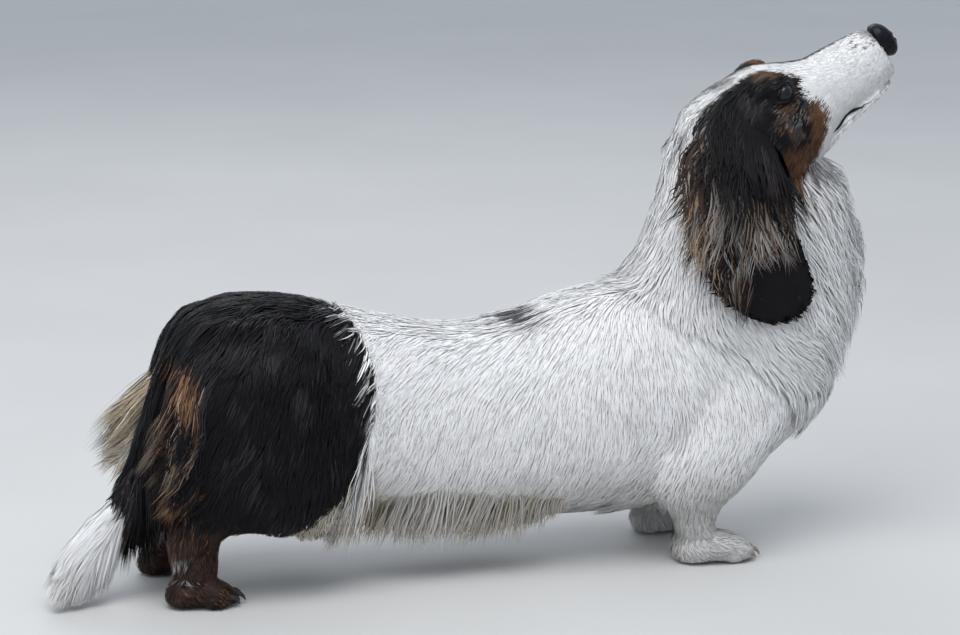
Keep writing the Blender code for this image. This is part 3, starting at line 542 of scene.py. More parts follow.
@dataclass
class Skin:
    """The one skin of body, neck, head, legs, tail and ears."""

    trunk: Loft = Loft((
        (-262, 196, -256, 150, 0, 24), (-246, 222, -244, 118, 0, 46), (-218, 236, -220, 92, 0, 60),
        (-180, 238, -180, 74, 0, 65), (-130, 229, -130, 60, 0, 61), (-75, 215, -75, 50, 0, 59),
        (-20, 206, -20, 44, 0, 62), (30, 213, 30, 40, 0, 67), (80, 226, 80, 38, 0, 71),
        (125, 232, 125, 38, 0, 71), (170, 228, 170, 42, 0, 69), (215, 218, 215, 52, 0, 64),
        (255, 200, 255, 78, 0, 55), (288, 178, 288, 108, 0, 40), (306, 160, 304, 128, 0, 22),
    ), depth=(3.0, 4.5), rings=60)
    neck: Loft = Loft((
        (128, 190, 298, 118, 0, 60), (116, 222, 308, 158, 0, 62), (136, 250, 315, 196, 0, 58),
        (148, 278, 316, 238, 0, 53), (156, 306, 315, 280, 0, 48), (161, 332, 304, 312, 0, 44),
        (172, 356, 280, 334, 0, 38), (192, 370, 250, 346, 0, 25),
    ), depth=(5.0, 4.5))
    thigh: Loft = Loft((
        (-240, 226, -176, 230, 26, 20), (-256, 200, -138, 206, 34, 34), (-266, 168, -122, 168, 38, 38),
        (-264, 132, -118, 118, 41, 37), (-252, 92, -122, 68, 44, 33), (-238, 72, -144, 50, 46, 26),
        (-222, 66, -172, 50, 47, 16),
    ), depth=(4.0, 5.0))
    hock: Loft = Loft((
        (-172, 110, -166, 60, 48, 24), (-200, 106, -196, 56, 49, 26), (-232, 98, -218, 57, 50, 23),
        (-262, 82, -229, 55, 50, 18), (-272, 60, -231, 46, 50, 16), (-271, 40, -232, 36, 50, 15),
        (-269, 24, -233, 24, 50, 15), (-264, 12, -238, 12, 50, 11),
    ), depth=(5.0, 2.5))
    hind_paw: Loft = Loft((
        (-276, 14, -276, 4, 50, 8), (-270, 22, -270, -1, 50, 14), (-254, 26, -254, -1, 51, 18),
        (-237, 23, -237, -1, 52, 19), (-226, 17, -226, -1, 52, 15), (-218, 9, -218, -1, 52, 8),
    ), depth=(2.0, 1.6))
    foreleg: Loft = Loft((
        (226, 198, 166, 206, 30, 16), (259, 166, 138, 172, 35, 31), (263, 132, 127, 130, 41, 34),
        (246, 98, 124, 94, 47, 32), (216, 66, 133, 66, 50, 26), (195, 46, 146, 49, 50, 20),
        (189, 34, 152, 36, 50, 18), (190, 22, 156, 22, 50, 17), (186, 12, 162, 12, 50, 12),
    ), depth=(7.0, 3.0))
    fore_paw: Loft = Loft((
        (152, 18, 153, 4, 50, 9), (159, 25, 159, -1, 50, 17), (177, 27, 177, -1, 51, 21),
        (197, 25, 197, -1, 52, 22), (211, 19, 212, -1, 53, 18), (220, 10, 220, -1, 53, 9),
    ), depth=(2.2, 1.6))
    tail: Loft = Loft((
        (-234, 224, -234, 200, 0, 10), (-256, 207, -242, 186, 0, 12), (-272, 174, -256, 166, -1, 12),
        (-284, 138, -268, 130, -3, 11), (-296, 106, -280, 94, -8, 10), (-311, 82, -296, 66, -14, 9),
        (-329, 60, -317, 44, -20, 8), (-345, 38, -338, 28, -26, 5),
    ), depth=(3.0, 1.0), power=2.0)
    skull: Loft = Loft((
        (-32, 20, -32, -12, 0, 18), (-20, 33, -20, -38, 0, 35), (3, 39, 3, -60, 0, 45),
        (28, 39.5, 28, -69, 0, 48), (48, 38, 48, -67, 0, 46), (64, 32, 64, -61.5, 0, 41),
        (79, 24.5, 79, -54, 0, 34.5), (92, 19, 92, -47, 0, 29), (105, 18, 105, -43.5, 0, 26),
        (122, 16.5, 122, -41, 0, 23.5), (139, 14.5, 139, -37.5, 0, 20.5),
        (147, 12, 148.5, -34.5, 0, 17), (151, 8, 153, -30, 0, 12.5), (153.5, -6, 155, -23, 0, 6),
    ), depth=(4.5, 0.9), rings=72, sides=64)
    jaw: Loft = Loft((
        (52, -36, 52, -62, 0, 22), (72, -36, 72, -58, 0, 24), (92, -35, 92, -51.5, 0, 21.5),
        (106, -34, 106, -48.5, 0, 19.5), (123, -32, 123, -45.5, 0, 17.5),
        (136, -31, 136, -42.5, 0, 15), (144, -31, 144, -39, 0, 10.5), (147, -32, 147, -36, 0, 5),
    ), depth=(2.0, 0.9))
    toe_size: Point = (11.0, 5.9, 8.6)
    fore_toes: Point = (206.0, 52.0, 8.8)  # x of the foremost, y, height
    hind_toes: Point = (-232.0, 51.0, 8.2)
    body_voxel: float = 3.7
    head_voxel: float = 1.6
    paw_voxel: float = 1.7
    sole: float = 0.6  # lowest point of the soles' skin
    body: Surface = field(init=False)  # the skin without its ears
    surface: Surface = field(init=False)
    ears: dict[str, EarFlap] = field(init=False)

    def toes(self, row: Point, side: int) -> list[Surface]:
        """Four toes side by side, the outer two set back.

        Args:
            row: x of the foremost toe, y of the paw, height.
            side: 1 left, -1 right.

        Returns:
            The toes.
        """
        x, y, height = row
        return [ball((x - back, side * (y + across), height), self.toe_size, BODY)
                for across, back in TOES]

    def head_surface(self) -> Surface:
        """Skull, jaw, brows and cheeks melted into one and sculpted.

        Returns:
            The head with its nape.
        """
        nape = Loft(self.neck.stations[3:], depth=(8.0, 6.5))
        parts = [self.skull.surface(HEAD), self.jaw.surface(HEAD), nape.surface()]
        for side in SIDES.values():
            parts.append(ball((51, side * 25.5, 23.5), (15, 10.5, 9), HEAD))
            parts.append(ball((38, side * 34, -14), (24, 13.5, 20), HEAD))
        points, faces = melted(parts, self.head_voxel, 3)
        carved = FACE.sculpted(HEAD.back(points), corner_normals((points, faces)) @ HEAD.turn())
        return HEAD.out(carved), faces

    def build(self) -> None:
        """Works out the skin and keeps it as surface."""
        self.ears = {word: EarFlap(side) for word, side in SIDES.items()}
        body = [self.trunk.surface(), self.neck.surface(), self.tail.surface()]
        for side in SIDES.values():
            body += [self.thigh.surface(side=side), self.foreleg.surface(side=side)]
            body.append(self.hock.surface(side=side))
        parts = [melted(body, self.body_voxel, 4)]
        for side in SIDES.values():
            fore = [self.foreleg.surface(side=side), self.fore_paw.surface(side=side)]
            hind = [self.hock.surface(side=side), self.hind_paw.surface(side=side)]
            parts.append(melted(fore + self.toes(self.fore_toes, side), self.paw_voxel, 2))
            parts.append(melted(hind + self.toes(self.hind_toes, side), self.paw_voxel, 2))
        parts.append(self.head_surface())
        self.body = united(parts)
        points, faces = united([self.body] + [ear.surface() for ear in self.ears.values()])
        points[:, 2] = np.maximum(points[:, 2], self.sole)
        self.surface = (points, faces)


TOES = ((-15, 7), (-5.5, 0), (5.5, 0), (15, 7))  # how far across and behind the foremost toe


@dataclass(frozen=True)
class Face:
    """The sculpted features of the head, in its own frame."""

    eye_at: Point = (57.5, 31.0, 14.5)
    eye_radius: float = 10.0
    look: Point = (0.42, 1.0, 0.10)
    opening: tuple[float, float] = (7.6, 5.4)  # half length and half height
    mouth: tuple[tuple[float, float], ...] = (
        (156, -31), (150, -33.5), (135, -37), (114, -40.5), (95, -43), (80, -45),
    )
    lip_groove: float = 1.5

    def eye_axes(self, side: int) -> tuple[Array, Array, Array, Array]:
        """The eye's centre and its axes: outwards, along the lids and up across them.

        Args:
            side: 1 left, -1 right.

        Returns:
            Centre, out, lengthwise and upward.
        """
        centre = np.array(self.eye_at) * (1, side, 1)
        out = unit(np.array(self.look) * (1, side, 1))
        lengthwise = unit(np.cross((0, 0, 1), out) * -side + np.array((0, 0, 0.18)))
        upward = unit(np.cross(out, lengthwise) * side)
        lengthwise = unit(np.cross(upward, out) * side)
        return centre, out, lengthwise, upward

    def almond(self, along_lid: Array, across_lid: Array) -> Array:
        """1 on the lids' edge, less inside: an ellipse that narrows towards both corners.

        Args:
            along_lid: millimetres along the opening.
            across_lid: millimetres up across it.

        Returns:
            The share for each pair.
        """
        length, height = self.opening
        share = np.clip(np.abs(along_lid) / length, 0, 1)
        narrow = height * (1 - 0.30 * share**2)
        return np.sqrt((along_lid / length) ** 2 + (across_lid / narrow) ** 2)

    def around_eye(self, local: Array, side: int) -> tuple[Array, Array, Array, Array]:
        """Places along one eye's axes, and their ring about the lids.

        Args:
            local: places in the head's frame.
            side: 1 left, -1 right.

        Returns:
            How far along the lids, up across them and outwards each place is, and its ring.
        """
        centre, out, lengthwise, upward = self.eye_axes(side)
        away = local - centre
        a, b, c = away @ lengthwise, away @ upward, away @ out
        return a, b, c, self.almond(a, b)

    def bare(self, points: Array) -> Array:
        """True where no hair grows: eye openings and lids, the lips' edge, and under the nose.

        Args:
            points: places (n, 3) in the body's drawing.

        Returns:
            One truth for each place.
        """
        local = HEAD.back(points)
        u, w, v = local.T
        result = ((u - 158.5) / 9.0) ** 2 + (w / 13.5) ** 2 + ((v + 2) / 14.5) ** 2 < 1
        for side in SIDES.values():
            _, _, outwards, ring = self.around_eye(local, side)
            result |= (ring < 1.04) & (outwards > 0)
        return result

    def sculpted(self, points: Array, normals: Array) -> Array:
        """The head's points with eye openings, lid folds, the mouth's groove and cheek hollows.

        Args:
            points: the head's points, in its frame.
            normals: their normals.

        Returns:
            The moved points.
        """
        moved = points.copy()
        for side in SIDES.values():
            out = self.eye_axes(side)[1]
            a, b, c, ring = self.around_eye(points, side)
            front = c > 0
            socket = (1 - ease(0.82, 1.06, ring)) * front
            deep = np.sqrt(np.maximum((self.eye_radius - 1.6) ** 2 - a * a - b * b, 4.0))
            moved += socket[:, None] * (deep - c)[:, None] * out
            flat = a * a + b * b
            over = np.sqrt(np.maximum((self.eye_radius + 0.5) ** 2 - flat, 0.0))
            lift = np.clip(over - c, 0, 4) * (1 - ease(85, 125, flat)) * ease(0.98, 1.08, ring) * front
            moved += lift[:, None] * out
            swell = np.exp(-((ring - 1.28) / 0.20) ** 2) * front
            crease = np.exp(-((ring - 1.75) / 0.16) ** 2) * front * (b > 0)
            moved += (0.9 * swell - 0.8 * crease)[:, None] * out
        u, _, v = points.T
        line = np.array(self.mouth)[::-1]
        edge = np.interp(u, line[:, 0], line[:, 1])
        within = ease(76, 86, u)
        groove = np.exp(-((v - edge) / 1.3) ** 2) * within
        lip = np.exp(-((v - edge - 4.0) / 2.6) ** 2) * within
        hollow = np.exp(-((u - 88) / 9) ** 2 - ((v + 6) / 12) ** 2)
        moved += normals * (lip * 0.7 - groove * self.lip_groove - hollow * 1.2)[:, None]
        return moved


FACE = Face()


class SurfaceField:
    """How far a place is from a surface: each cell of a coarse grid knows a near point of it."""

    def __init__(self, surface: Surface, cell: float = 4.0, reach: int = 12) -> None:
        """Marks the cells that hold points, then spreads each mark to the cells around it.

        Args:
            surface: the surface that the field is for.
            cell: the grid's cell, in millimetres.
            reach: how many cells the marks spread.
        """
        self.points, self.cell = surface[0], cell
        self.normals = corner_normals(surface)
        self.low = self.points.min(0) - reach * cell
        shape = np.ceil((self.points.max(0) - self.low) / cell).astype(int) + reach
        near = np.full(shape, -1, np.int32)
        at = ((self.points - self.low) / cell).astype(int)
        near[at[:, 0], at[:, 1], at[:, 2]] = np.arange(len(self.points))
        for step in range(reach):
            for axis in (0, 1, 2, 1, 0, 2)[step % 3:][:3]:
                for way in (1, -1):
                    near = np.where(near < 0, np.roll(near, way, axis), near)
        self.near = near

    def nearest(self, places: Array) -> tuple[Array, Array]:
        """The index of a near surface point for each place, and whether the grid knows one.

        Args:
            places: places (..., 3).

        Returns:
            The indices, and where they are known.
        """
        at = ((places - self.low) / self.cell).astype(int)
        at = np.clip(at, 0, np.array(self.near.shape) - 1)
        index = self.near[at[..., 0], at[..., 1], at[..., 2]]
        return np.maximum(index, 0), index >= 0

    def height(self, places: Array) -> tuple[Array, Array]:
        """Signed height over the surface's tangent plane, and that plane's normal.

        Args:
            places: places (..., 3).

        Returns:
            Heights (40 where the grid knows nothing) and normals.
        """
        index, known = self.nearest(places)
        normal = self.normals[index]
        height = np.einsum("...i,...i->...", places - self.points[index], normal)
        return np.where(known, height, 40.0), normal

    def settled(self, places: Array, lift: float = 0.0) -> Array:
        """Places moved onto the surface, or lift above it, by their own height a few times over.

        Args:
            places: places (..., 3).
            lift: millimetres above the surface.

        Returns:
            The moved places.
        """
        for _ in range(5):
            height, normal = self.height(places)
            places = places + normal * (lift - height)[..., None]
        return places


class View(Enum):
    """The flat view that a patch of colour is outlined in."""

    SIDE = "side"  # (x, z) of the body, in millimetres
    TOP = "top"  # (x, y) of the body
    HEAD = "head"  # (u, degrees down from the crown) of the head


HEAD_AXIS_V = -15.0  # the head's middle line, which the arc is measured around
ARC_PER_RADIAN = 45.0


def head_chart(points: Array) -> tuple[Array, Array]:
    """The head's (u, arc) chart and its side: arc = 45 mm times the angle from the crown."""
    u, w, v = HEAD.back(points).T
    return np.stack([u, ARC_PER_RADIAN * np.arctan2(np.abs(w), v - HEAD_AXIS_V)], 1), w


@dataclass(frozen=True)
class Patch:
    """A patch of colour with a ragged edge, outlined in one view of the body."""

    view: View
    outline: tuple[tuple[float, float], ...]
    side: int = 0  # 1 left, -1 right, 0 both
    soft: float = 3.0  # half width of the edge's blend
    ragged: float = 3.0  # how far the edge wanders
    grain: float = 9.0  # millimetres from wander to wander
    seed: int = 1

    def corners(self) -> Array:
        """The outline's corners, a head patch's as places on the head's chart.

        Returns:
            Corners (n, 2).
        """
        corners = np.array(self.outline, float)
        if self.view is View.HEAD:
            corners[:, 1] = ARC_PER_RADIAN * np.radians(corners[:, 1])
        return corners

    def inside(self, points: Array, stray: Array) -> Array:
        """0 to 1: how far each place is within the outline.

        The signed distance to the polygon, moved by waves and by each tuft's own stray.

        Args:
            points: places (n, 3) in the body's drawing.
            stray: each place's own shift of the edge, -1 to 1.

        Returns:
            One share for each place.
        """
        if self.view is View.HEAD:
            flat, across = head_chart(points)
        else:
            flat = points[:, [0, 2]] if self.view is View.SIDE else points[:, :2]
            across = points[:, 1]
        corners, reach = self.corners(), self.soft + self.ragged + 30
        low, high = corners.min(0) - reach, corners.max(0) + reach
        near = ((flat > low) & (flat < high)).all(1)
        result = np.zeros(len(points))
        if near.any():
            distance = polygon_distance(flat[near], corners)
            wander = self.ragged * waves(points[near], self.grain, self.seed)
            result[near] = ease(-self.soft, self.soft, distance + wander + stray[near] * self.soft)
        if self.side and self.view is not View.TOP:
            result *= across * self.side > 0
        return result


def polygon_distance(places: Array, corners: Array) -> Array:
    """Distance to a polygon's edge, positive inside: nearest of its segments, sign by crossings.

    Args:
        places: flat places (n, 2).
        corners: the polygon's corners (m, 2).

    Returns:
        One distance for each place.
    """
    after = np.roll(corners, -1, 0)
    edge = after - corners
    away = places[:, None] - corners[None]
    share = np.clip((away * edge).sum(2) / (edge**2).sum(1), 0, 1)
    distance = np.linalg.norm(away - share[..., None] * edge, axis=2).min(1)
    above = places[:, None, 1] > corners[None, :, 1]
    above_next = places[:, None, 1] > after[None, :, 1]
    slope = np.where(edge[:, 1] == 0, 1e-9, edge[:, 1])
    crossing = corners[:, 0] + (places[:, None, 1] - corners[:, 1]) / slope * edge[:, 0]
    inside = ((above != above_next) & (places[:, None, 0] < crossing)).sum(1) % 2 == 1
    return np.where(inside, distance, -distance)


WHITE: Colour = (0.91, 0.90, 0.89)
CREAM: Colour = (0.64, 0.555, 0.42)
BLONDE: Colour = (0.42, 0.285, 0.175)
FAWN: Colour = (0.31, 0.235, 0.175)
TAN: Colour = (0.18, 0.092, 0.047)
RUST: Colour = (0.125, 0.055, 0.026)
UMBER: Colour = (0.030, 0.0165, 0.0125)
BLACK: Colour = (0.0048, 0.0044, 0.0054)
SLATE: Colour = (0.060, 0.056, 0.062)
SILVER: Colour = (0.40, 0.375, 0.36)


@dataclass(frozen=True)
class Hue:
    """A coat colour that is broken up from lock to lock and hair to hair.

    Each extra is (colour, share of the locks that have it, how strongly they take it).
    """

    base: Colour
    extras: tuple[tuple[Colour, float, float], ...] = ()

    def colours(self, lock: Array, hair: Array) -> Array:
        """One colour for each tuft, from its lock's and its own random number in 0 to 1.

        Args:
            lock: random number of the lock.
            hair: random number of the tuft.

        Returns:
            Linear colours (n, 3).
        """
        result = np.tile(self.base, (len(lock), 1))
        pick = np.mod(lock * 0.75 + hair * 0.25, 1.0)
        start = 0.0
        for colour, share, strength in self.extras:
            chosen = (pick >= start) & (pick < start + share)
            result[chosen] = mix(result[chosen], colour, strength)
            start += share
        return result


# black with umber hairs; its slate strands are partly the coat's grey hairs, partly painted sheen
DARK = Hue(BLACK, ((UMBER, 0.12, 0.4), (SLATE, 0.14, 0.35)))
BREECHES_HUE = Hue(BLACK, ((FAWN, 0.36, 0.85), (BLONDE, 0.08, 0.8), (TAN, 0.08, 0.5)))
GINGER_HUE = Hue(TAN, ((RUST, 0.35, 0.7), (BLACK, 0.25, 0.85), (FAWN, 0.12, 0.7)))
FAR_BREECHES_HUE = Hue(CREAM, ((WHITE, 0.34, 0.6), (BLONDE, 0.20, 0.5), (UMBER, 0.05, 0.8)))
RUSTY_HUE = Hue(TAN, ((RUST, 0.35, 0.7), (BLACK, 0.15, 0.7), (FAWN, 0.18, 0.5)))
MOTTLE_HUE = Hue(BLACK, ((SLATE, 0.38, 0.6), (RUST, 0.18, 0.8), (SILVER, 0.06, 0.4)))
BROW_HUE = Hue(RUST, ((TAN, 0.4, 0.8), (BLACK, 0.1, 0.6)))


@dataclass(frozen=True)
class Markings:
    """Where the dog is white, black, tan and grey; skin and coat both take their colour here."""

    rump: Patch = Patch(View.SIDE, (
        (-141, 300), (-137, 241), (-122, 227), (-111, 205), (-106, 184), (-105, 162), (-107, 142),
        (-111, 126), (-118, 106), (-131, 88), (-152, 74), (-180, 60), (-186, -30), (-430, -30), (-430, 300),
    ), soft=2.0, ragged=1.8, seed=3)
    lower_hind: Patch = Patch(View.SIDE, (
        (-330, 84), (-262, 84), (-214, 72), (-200, 60), (-196, -20), (-330, -20),
    ), soft=8, ragged=4, seed=4)
    silver_hock: Patch = Patch(View.SIDE, (
        (-300, 88), (-264, 86), (-259, 50), (-264, 24), (-300, 20),
    ), soft=5, ragged=4, seed=5)
    ginger_lock: Patch = Patch(View.SIDE, (
        (-254, 206), (-243, 206), (-240, 192), (-245, 180), (-254, 182),
    ), side=-1, soft=4, ragged=6, grain=16, seed=26)
    breeches: Patch = Patch(View.SIDE, (
        (-280, 184), (-262, 186), (-246, 168), (-242, 146), (-254, 134), (-290, 132),
    ), side=-1, soft=6, ragged=8, grain=18, seed=6)
    breeches_left: Patch = Patch(View.SIDE, (
        (-264, 196), (-250, 188), (-238, 164), (-234, 120), (-256, 80), (-325, 80), (-325, 170),
        (-290, 196),
    ), side=1, soft=6, ragged=7, grain=24, seed=7)
    rust_lock: Patch = Patch(View.SIDE, (
        (-282, 122), (-252, 122), (-243, 110), (-246, 92), (-264, 86), (-290, 90),
    ), side=-1, soft=4, ragged=4, seed=8)
    withers: Patch = Patch(View.TOP, (
        (24, 3), (36, 8), (52, 6), (60, -4), (58, -20), (48, -27), (36, -21), (26, -10),
    ), soft=5, ragged=4, seed=9)
    mask: Patch = Patch(View.HEAD, (
        (-12, 24), (-5, 20.5), (12, 16.5), (32, 13), (50, 12), (60, 14), (70, 24), (80, 40), (74, 50),
        (74, 63), (78, 81), (76, 100), (74, 112), (66, 122), (54, 126), (40, 128), (26, 128),
        (12, 120), (0, 108), (-12, 96),
    ), soft=1.6, ragged=1.4, grain=5, seed=10)
    cheek: Patch = Patch(View.HEAD, (
        (70, 70), (82, 72), (86, 98), (80, 120), (68, 133), (56, 142), (46, 144), (34, 142),
        (18, 142), (14, 130), (25, 116), (34, 104), (42, 98), (50, 108), (60, 112), (68, 96),
    ), soft=2.5, ragged=2.5, grain=6, seed=11)
    mottle: Patch = Patch(View.HEAD, (
        (46, 62), (60, 44), (72, 50), (74, 70), (68, 94), (58, 108), (48, 104), (44, 84),
    ), soft=3.5, ragged=3.5, grain=7, seed=12)
    brow: Patch = Patch(View.HEAD, (
        (50, 13), (58, 13), (66, 22), (66, 32), (58, 34), (50, 28),
    ), side=-1, soft=2.4, ragged=1.2, grain=6, seed=13)
    far_brow: Patch = Patch(View.HEAD, (
        (58, 12), (64, 12), (69, 20), (68, 34), (60, 34), (56, 26),
    ), side=1, soft=2.0, ragged=1.2, grain=6, seed=17)
    far_crown: Patch = Patch(View.HEAD, (
        (-20, 14), (-4, 7), (20, 3), (44, 3), (54, 8), (54, 18), (30, 20), (0, 26), (-20, 28),
    ), side=1, soft=3.0, ragged=3.5, grain=7, seed=18)
    far_stop: Patch = Patch(View.HEAD, (
        (58, 14), (72, 4), (104, 2), (140, 6), (140, 13), (104, 24), (80, 44),
    ), side=1, soft=2.0, ragged=1.6, grain=6, seed=14)
    crown: Patch = Patch(View.HEAD, (
        (18, -4), (34, -4), (38, 8), (28, 13), (16, 9),
    ), soft=3.0, ragged=3.0, grain=6, seed=15)
    nape: Patch = Patch(View.HEAD, (
        (-26, 10), (-12, 8), (-6, 20), (-20, 26), (-40, 24),
    ), soft=3.0, ragged=3.0, grain=7, seed=16)
    tail_tip: Point = (-297.0, 77.0, 1.0)  # x, z of the change, its softness

    def colours(self, points: Array, lock: Array, hair: Array) -> Array:
        """The coat's colour at each place.

        Args:
            points: places (n, 3) on the skin, in the body's drawing.
            lock: each place's random number in 0 to 1, shared by its lock.
            hair: its own random number in 0 to 1.

        Returns:
            Linear colours (n, 3): white, cream belly, painted shade low down, then each patch mixed over it.
        """
        stray = hair * 2 - 1
        # low is 1 at the bottom of the body: painted shade under the body creams and darkens the white there
        low = 1 - ease(42, 122, points[:, 2])
        hem = ease(-60, -120, points[:, 0])
        belly = (1 - ease(0, 36, points[:, 2] - mix(60.0, 86.0, hem))) * ease(80, 35, points[:, 0])
        result = np.tile(WHITE, (len(points), 1))
        # the belly's own cream, plus a cream tint towards the bottom that is painted shade
        cream_and_shade = np.clip(0.02 + 0.16 * low + 1.05 * belly * (0.35 + 0.65 * lock), 0, 1)
        result = mix(result, CREAM, cream_and_shade[:, None])
        # darker towards the bottom: painted shade under the body; the rest is random tone
        result *= ((1 - 0.34 * low) * (1 + 0.04 * (lock - 0.5) + 0.04 * (hair - 0.5)))[:, None]
        body, face = points[:, 2] < 320, points[:, 2] > 290
        layers = [
            (self.rump, DARK, body, 1.0),
            (self.lower_hind, Hue(UMBER, ((BLACK, 0.3, 0.6), (RUST, 0.14, 0.4))), body, 0.95),
            (self.silver_hock, Hue(UMBER, ((SILVER, 0.48, 0.6), (TAN, 0.15, 0.4))), body, 1.0),
            (self.breeches, BREECHES_HUE, body, 1.0),
            (self.ginger_lock, GINGER_HUE, body, 1.0),
            (self.breeches_left, FAR_BREECHES_HUE, body, 1.0),
            (self.rust_lock, RUSTY_HUE, body, 0.95),
            (self.withers, Hue(SLATE, ((BLACK, 0.40, 0.7), (WHITE, 0.14, 0.5))), points[:, 2] > 150, 0.95),
            (self.mask, Hue(BLACK, ((SLATE, 0.2, 0.4),)), face, 1.0),
            (self.cheek, Hue(RUST, ((TAN, 0.25, 0.5), (UMBER, 0.30, 0.7))), face, 1.0),
            (self.mottle, MOTTLE_HUE, face, 0.95),
            (self.brow, BROW_HUE, face, 0.9),
            (self.far_crown, Hue(SLATE, ((BLACK, 0.4, 0.7), (WHITE, 0.14, 0.6))), face, 0.85),
            (self.far_brow, BROW_HUE, face, 0.9),
            (self.far_stop, DARK, face, 0.95),
            (self.crown, Hue(SLATE, ((WHITE, 0.4, 0.9),)), face, 0.55),
            (self.nape, Hue(SLATE, ((WHITE, 0.3, 0.9), (BLACK, 0.2, 0.7))), face, 0.6),
        ]
        for patch, hue, where, strength in layers:
            share = np.zeros(len(points))
            if where.any():
                share[where] = patch.inside(points[where], stray[where]) * strength
            touched = share > 0.003
            if touched.any():
                own = hue.colours(lock[touched], hair[touched])
                result[touched] = mix(result[touched], own, share[touched, None])
        return self.ticked(points, result, hair)

    def ticked(self, points: Array, colours: Array, hair: Array) -> Array:
        """Grey ticks on the muzzle, thick on its bridge behind the nose, and black around the eyes.

        Args:
            points: places (n, 3) in the body's drawing.
            colours: the colours so far.
            hair: random number of the tuft.

        Returns:
            The colours with ticks.
        """
        u, down = head_chart(points)[0].T
        face = points[:, 2] > 290
        fine = ease(0.35, 0.75, waves(points, 3.6, 21))
        ticks = fine * (0.75 * ease(112, 150, u) * (1 - ease(26, 48, down)) + 0.30 * ease(96, 136, u))
        bridge = ease(136, 150, u) * (1 - ease(14, 30, down)) * (0.5 + 0.5 * hair)
        share = np.clip(ticks + 0.75 * bridge, 0, 0.9) * face
        colours = mix(colours, SLATE, share[:, None])
        around = np.full(len(points), 9.0)
        for side in SIDES.values():
            _, _, outwards, ring = FACE.around_eye(HEAD.back(points), side)
            around = np.where(outwards > 0, np.minimum(around, ring), around)
        return mix(colours, BLACK, (1 - ease(1.35, 1.95, around))[:, None])

    def flag(self, points: Array) -> Array:
        """Millimetres past the line across the tail where its white flag starts."""
        x, z, _ = self.tail_tip
        return (x - points[:, 0]) * 0.75 + (z - points[:, 2]) * 0.65 + 3 * waves(points, 11, 31)

    def tail(self, points: Array, lock: Array, hair: Array) -> Array:
        """Black-brown down to the white flag, with a little cream in it.

        Args:
            points: places (n, 3) in the body's drawing.
            lock: random number of the lock.
            hair: random number of the tuft.

        Returns:
            Linear colours (n, 3).
        """
        soft = self.tail_tip[2]
        white = ease(-soft, soft, self.flag(points))
        pale = Hue(WHITE, ((CREAM, 0.16, 0.4),)).colours(lock, hair)
        dark = Hue(BLACK, ((UMBER, 0.25, 0.6), (SLATE, 0.12, 0.5))).colours(lock, hair)
        return mix(dark, pale, white[:, None])

    def ear(self, points: Array, side: int, lobe: Array, lock: Array, hair: Array) -> Array:
        """Black at the root, brown, tan and silver streaks down the long hair, a dark lobe.

        Args:
            points: places on the flap.
            side: 1 left, -1 right.
            lobe: 0 to 1, where the hair is short on the flap's lower front.
            lock: random number of the lock.
            hair: random number of the tuft.

        Returns:
            Linear colours (n, 3).
        """
        streaks = Hue(BLACK, ((UMBER, 0.20, 0.6), (FAWN, 0.14, 0.7), (SILVER, 0.16, 0.6), (TAN, 0.05, 0.5)))
        edge = Hue(UMBER, ((FAWN, 0.26, 0.8), (SILVER, 0.20, 0.7), (BLONDE, 0.12, 0.7), (BLACK, 0.2, 0.8)))
        x, z = points[:, 0], points[:, 2]
        if side > 0:
            x = x - EarFlap.forward
            fringe = ease(196, 180, x)[:, None]
            grey = Hue(SILVER, ((SLATE, 0.3, 0.7), (WHITE, 0.3, 0.6))).colours(lock, hair)
        quiet = Hue(BLACK, ((UMBER, 0.22, 0.5), (SLATE, 0.06, 0.3))).colours(lock, hair)
        own = mix(streaks.colours(lock, hair), edge.colours(lock, hair), ease(194, 180, x)[:, None])
        root = ease(324, 340, z) * ease(178, 196, x)
        low = ease(286, 262, z) * ease(180, 200, x)
        own = mix(own, quiet, np.maximum(np.maximum(root, lobe), 0.9 * low)[:, None])
        return mix(own, grey, 0.8 * fringe) if side > 0 else own


@dataclass(frozen=True)
class Guides:
    """Combed guide hairs: a place, the way the hair lies there, its length and how far it stands off.

    Rows are (x, y, z, lie x, lie y, lie z, length, rise) on the left side; the right side mirrors
    them. Between guides the values blend by the inverse fifth power of distance.
    """

    rows: Rows
    place: Place = BODY
    core: float = 14.0  # millimetres around a guide in which it rules

    def comb(self, points: Array) -> tuple[Array, Array, Array]:
        """The lie (n, 3), length (n) and rise (n) of the hair at each place.

        Args:
            points: places (n, 3) in the body's drawing.

        Returns:
            Lies, lengths and rises.
        """
        drawn = self.place.back(points)
        side = np.where(drawn[:, 1] < 0, -1.0, 1.0)
        table = np.array(self.rows, float)
        folded = drawn * np.stack([np.ones_like(side), side, np.ones_like(side)], 1)
        square = ((folded[:, None] - table[None, :, :3]) ** 2).sum(2)
        weight = 1 / (square + self.core**2) ** 2.5
        weight /= weight.sum(1, keepdims=True)
        lie = weight @ unit(table[:, 3:6])
        lie[:, 1] *= side
        return self.place.out_way(unit(lie)), weight @ table[:, 6], weight @ table[:, 7]


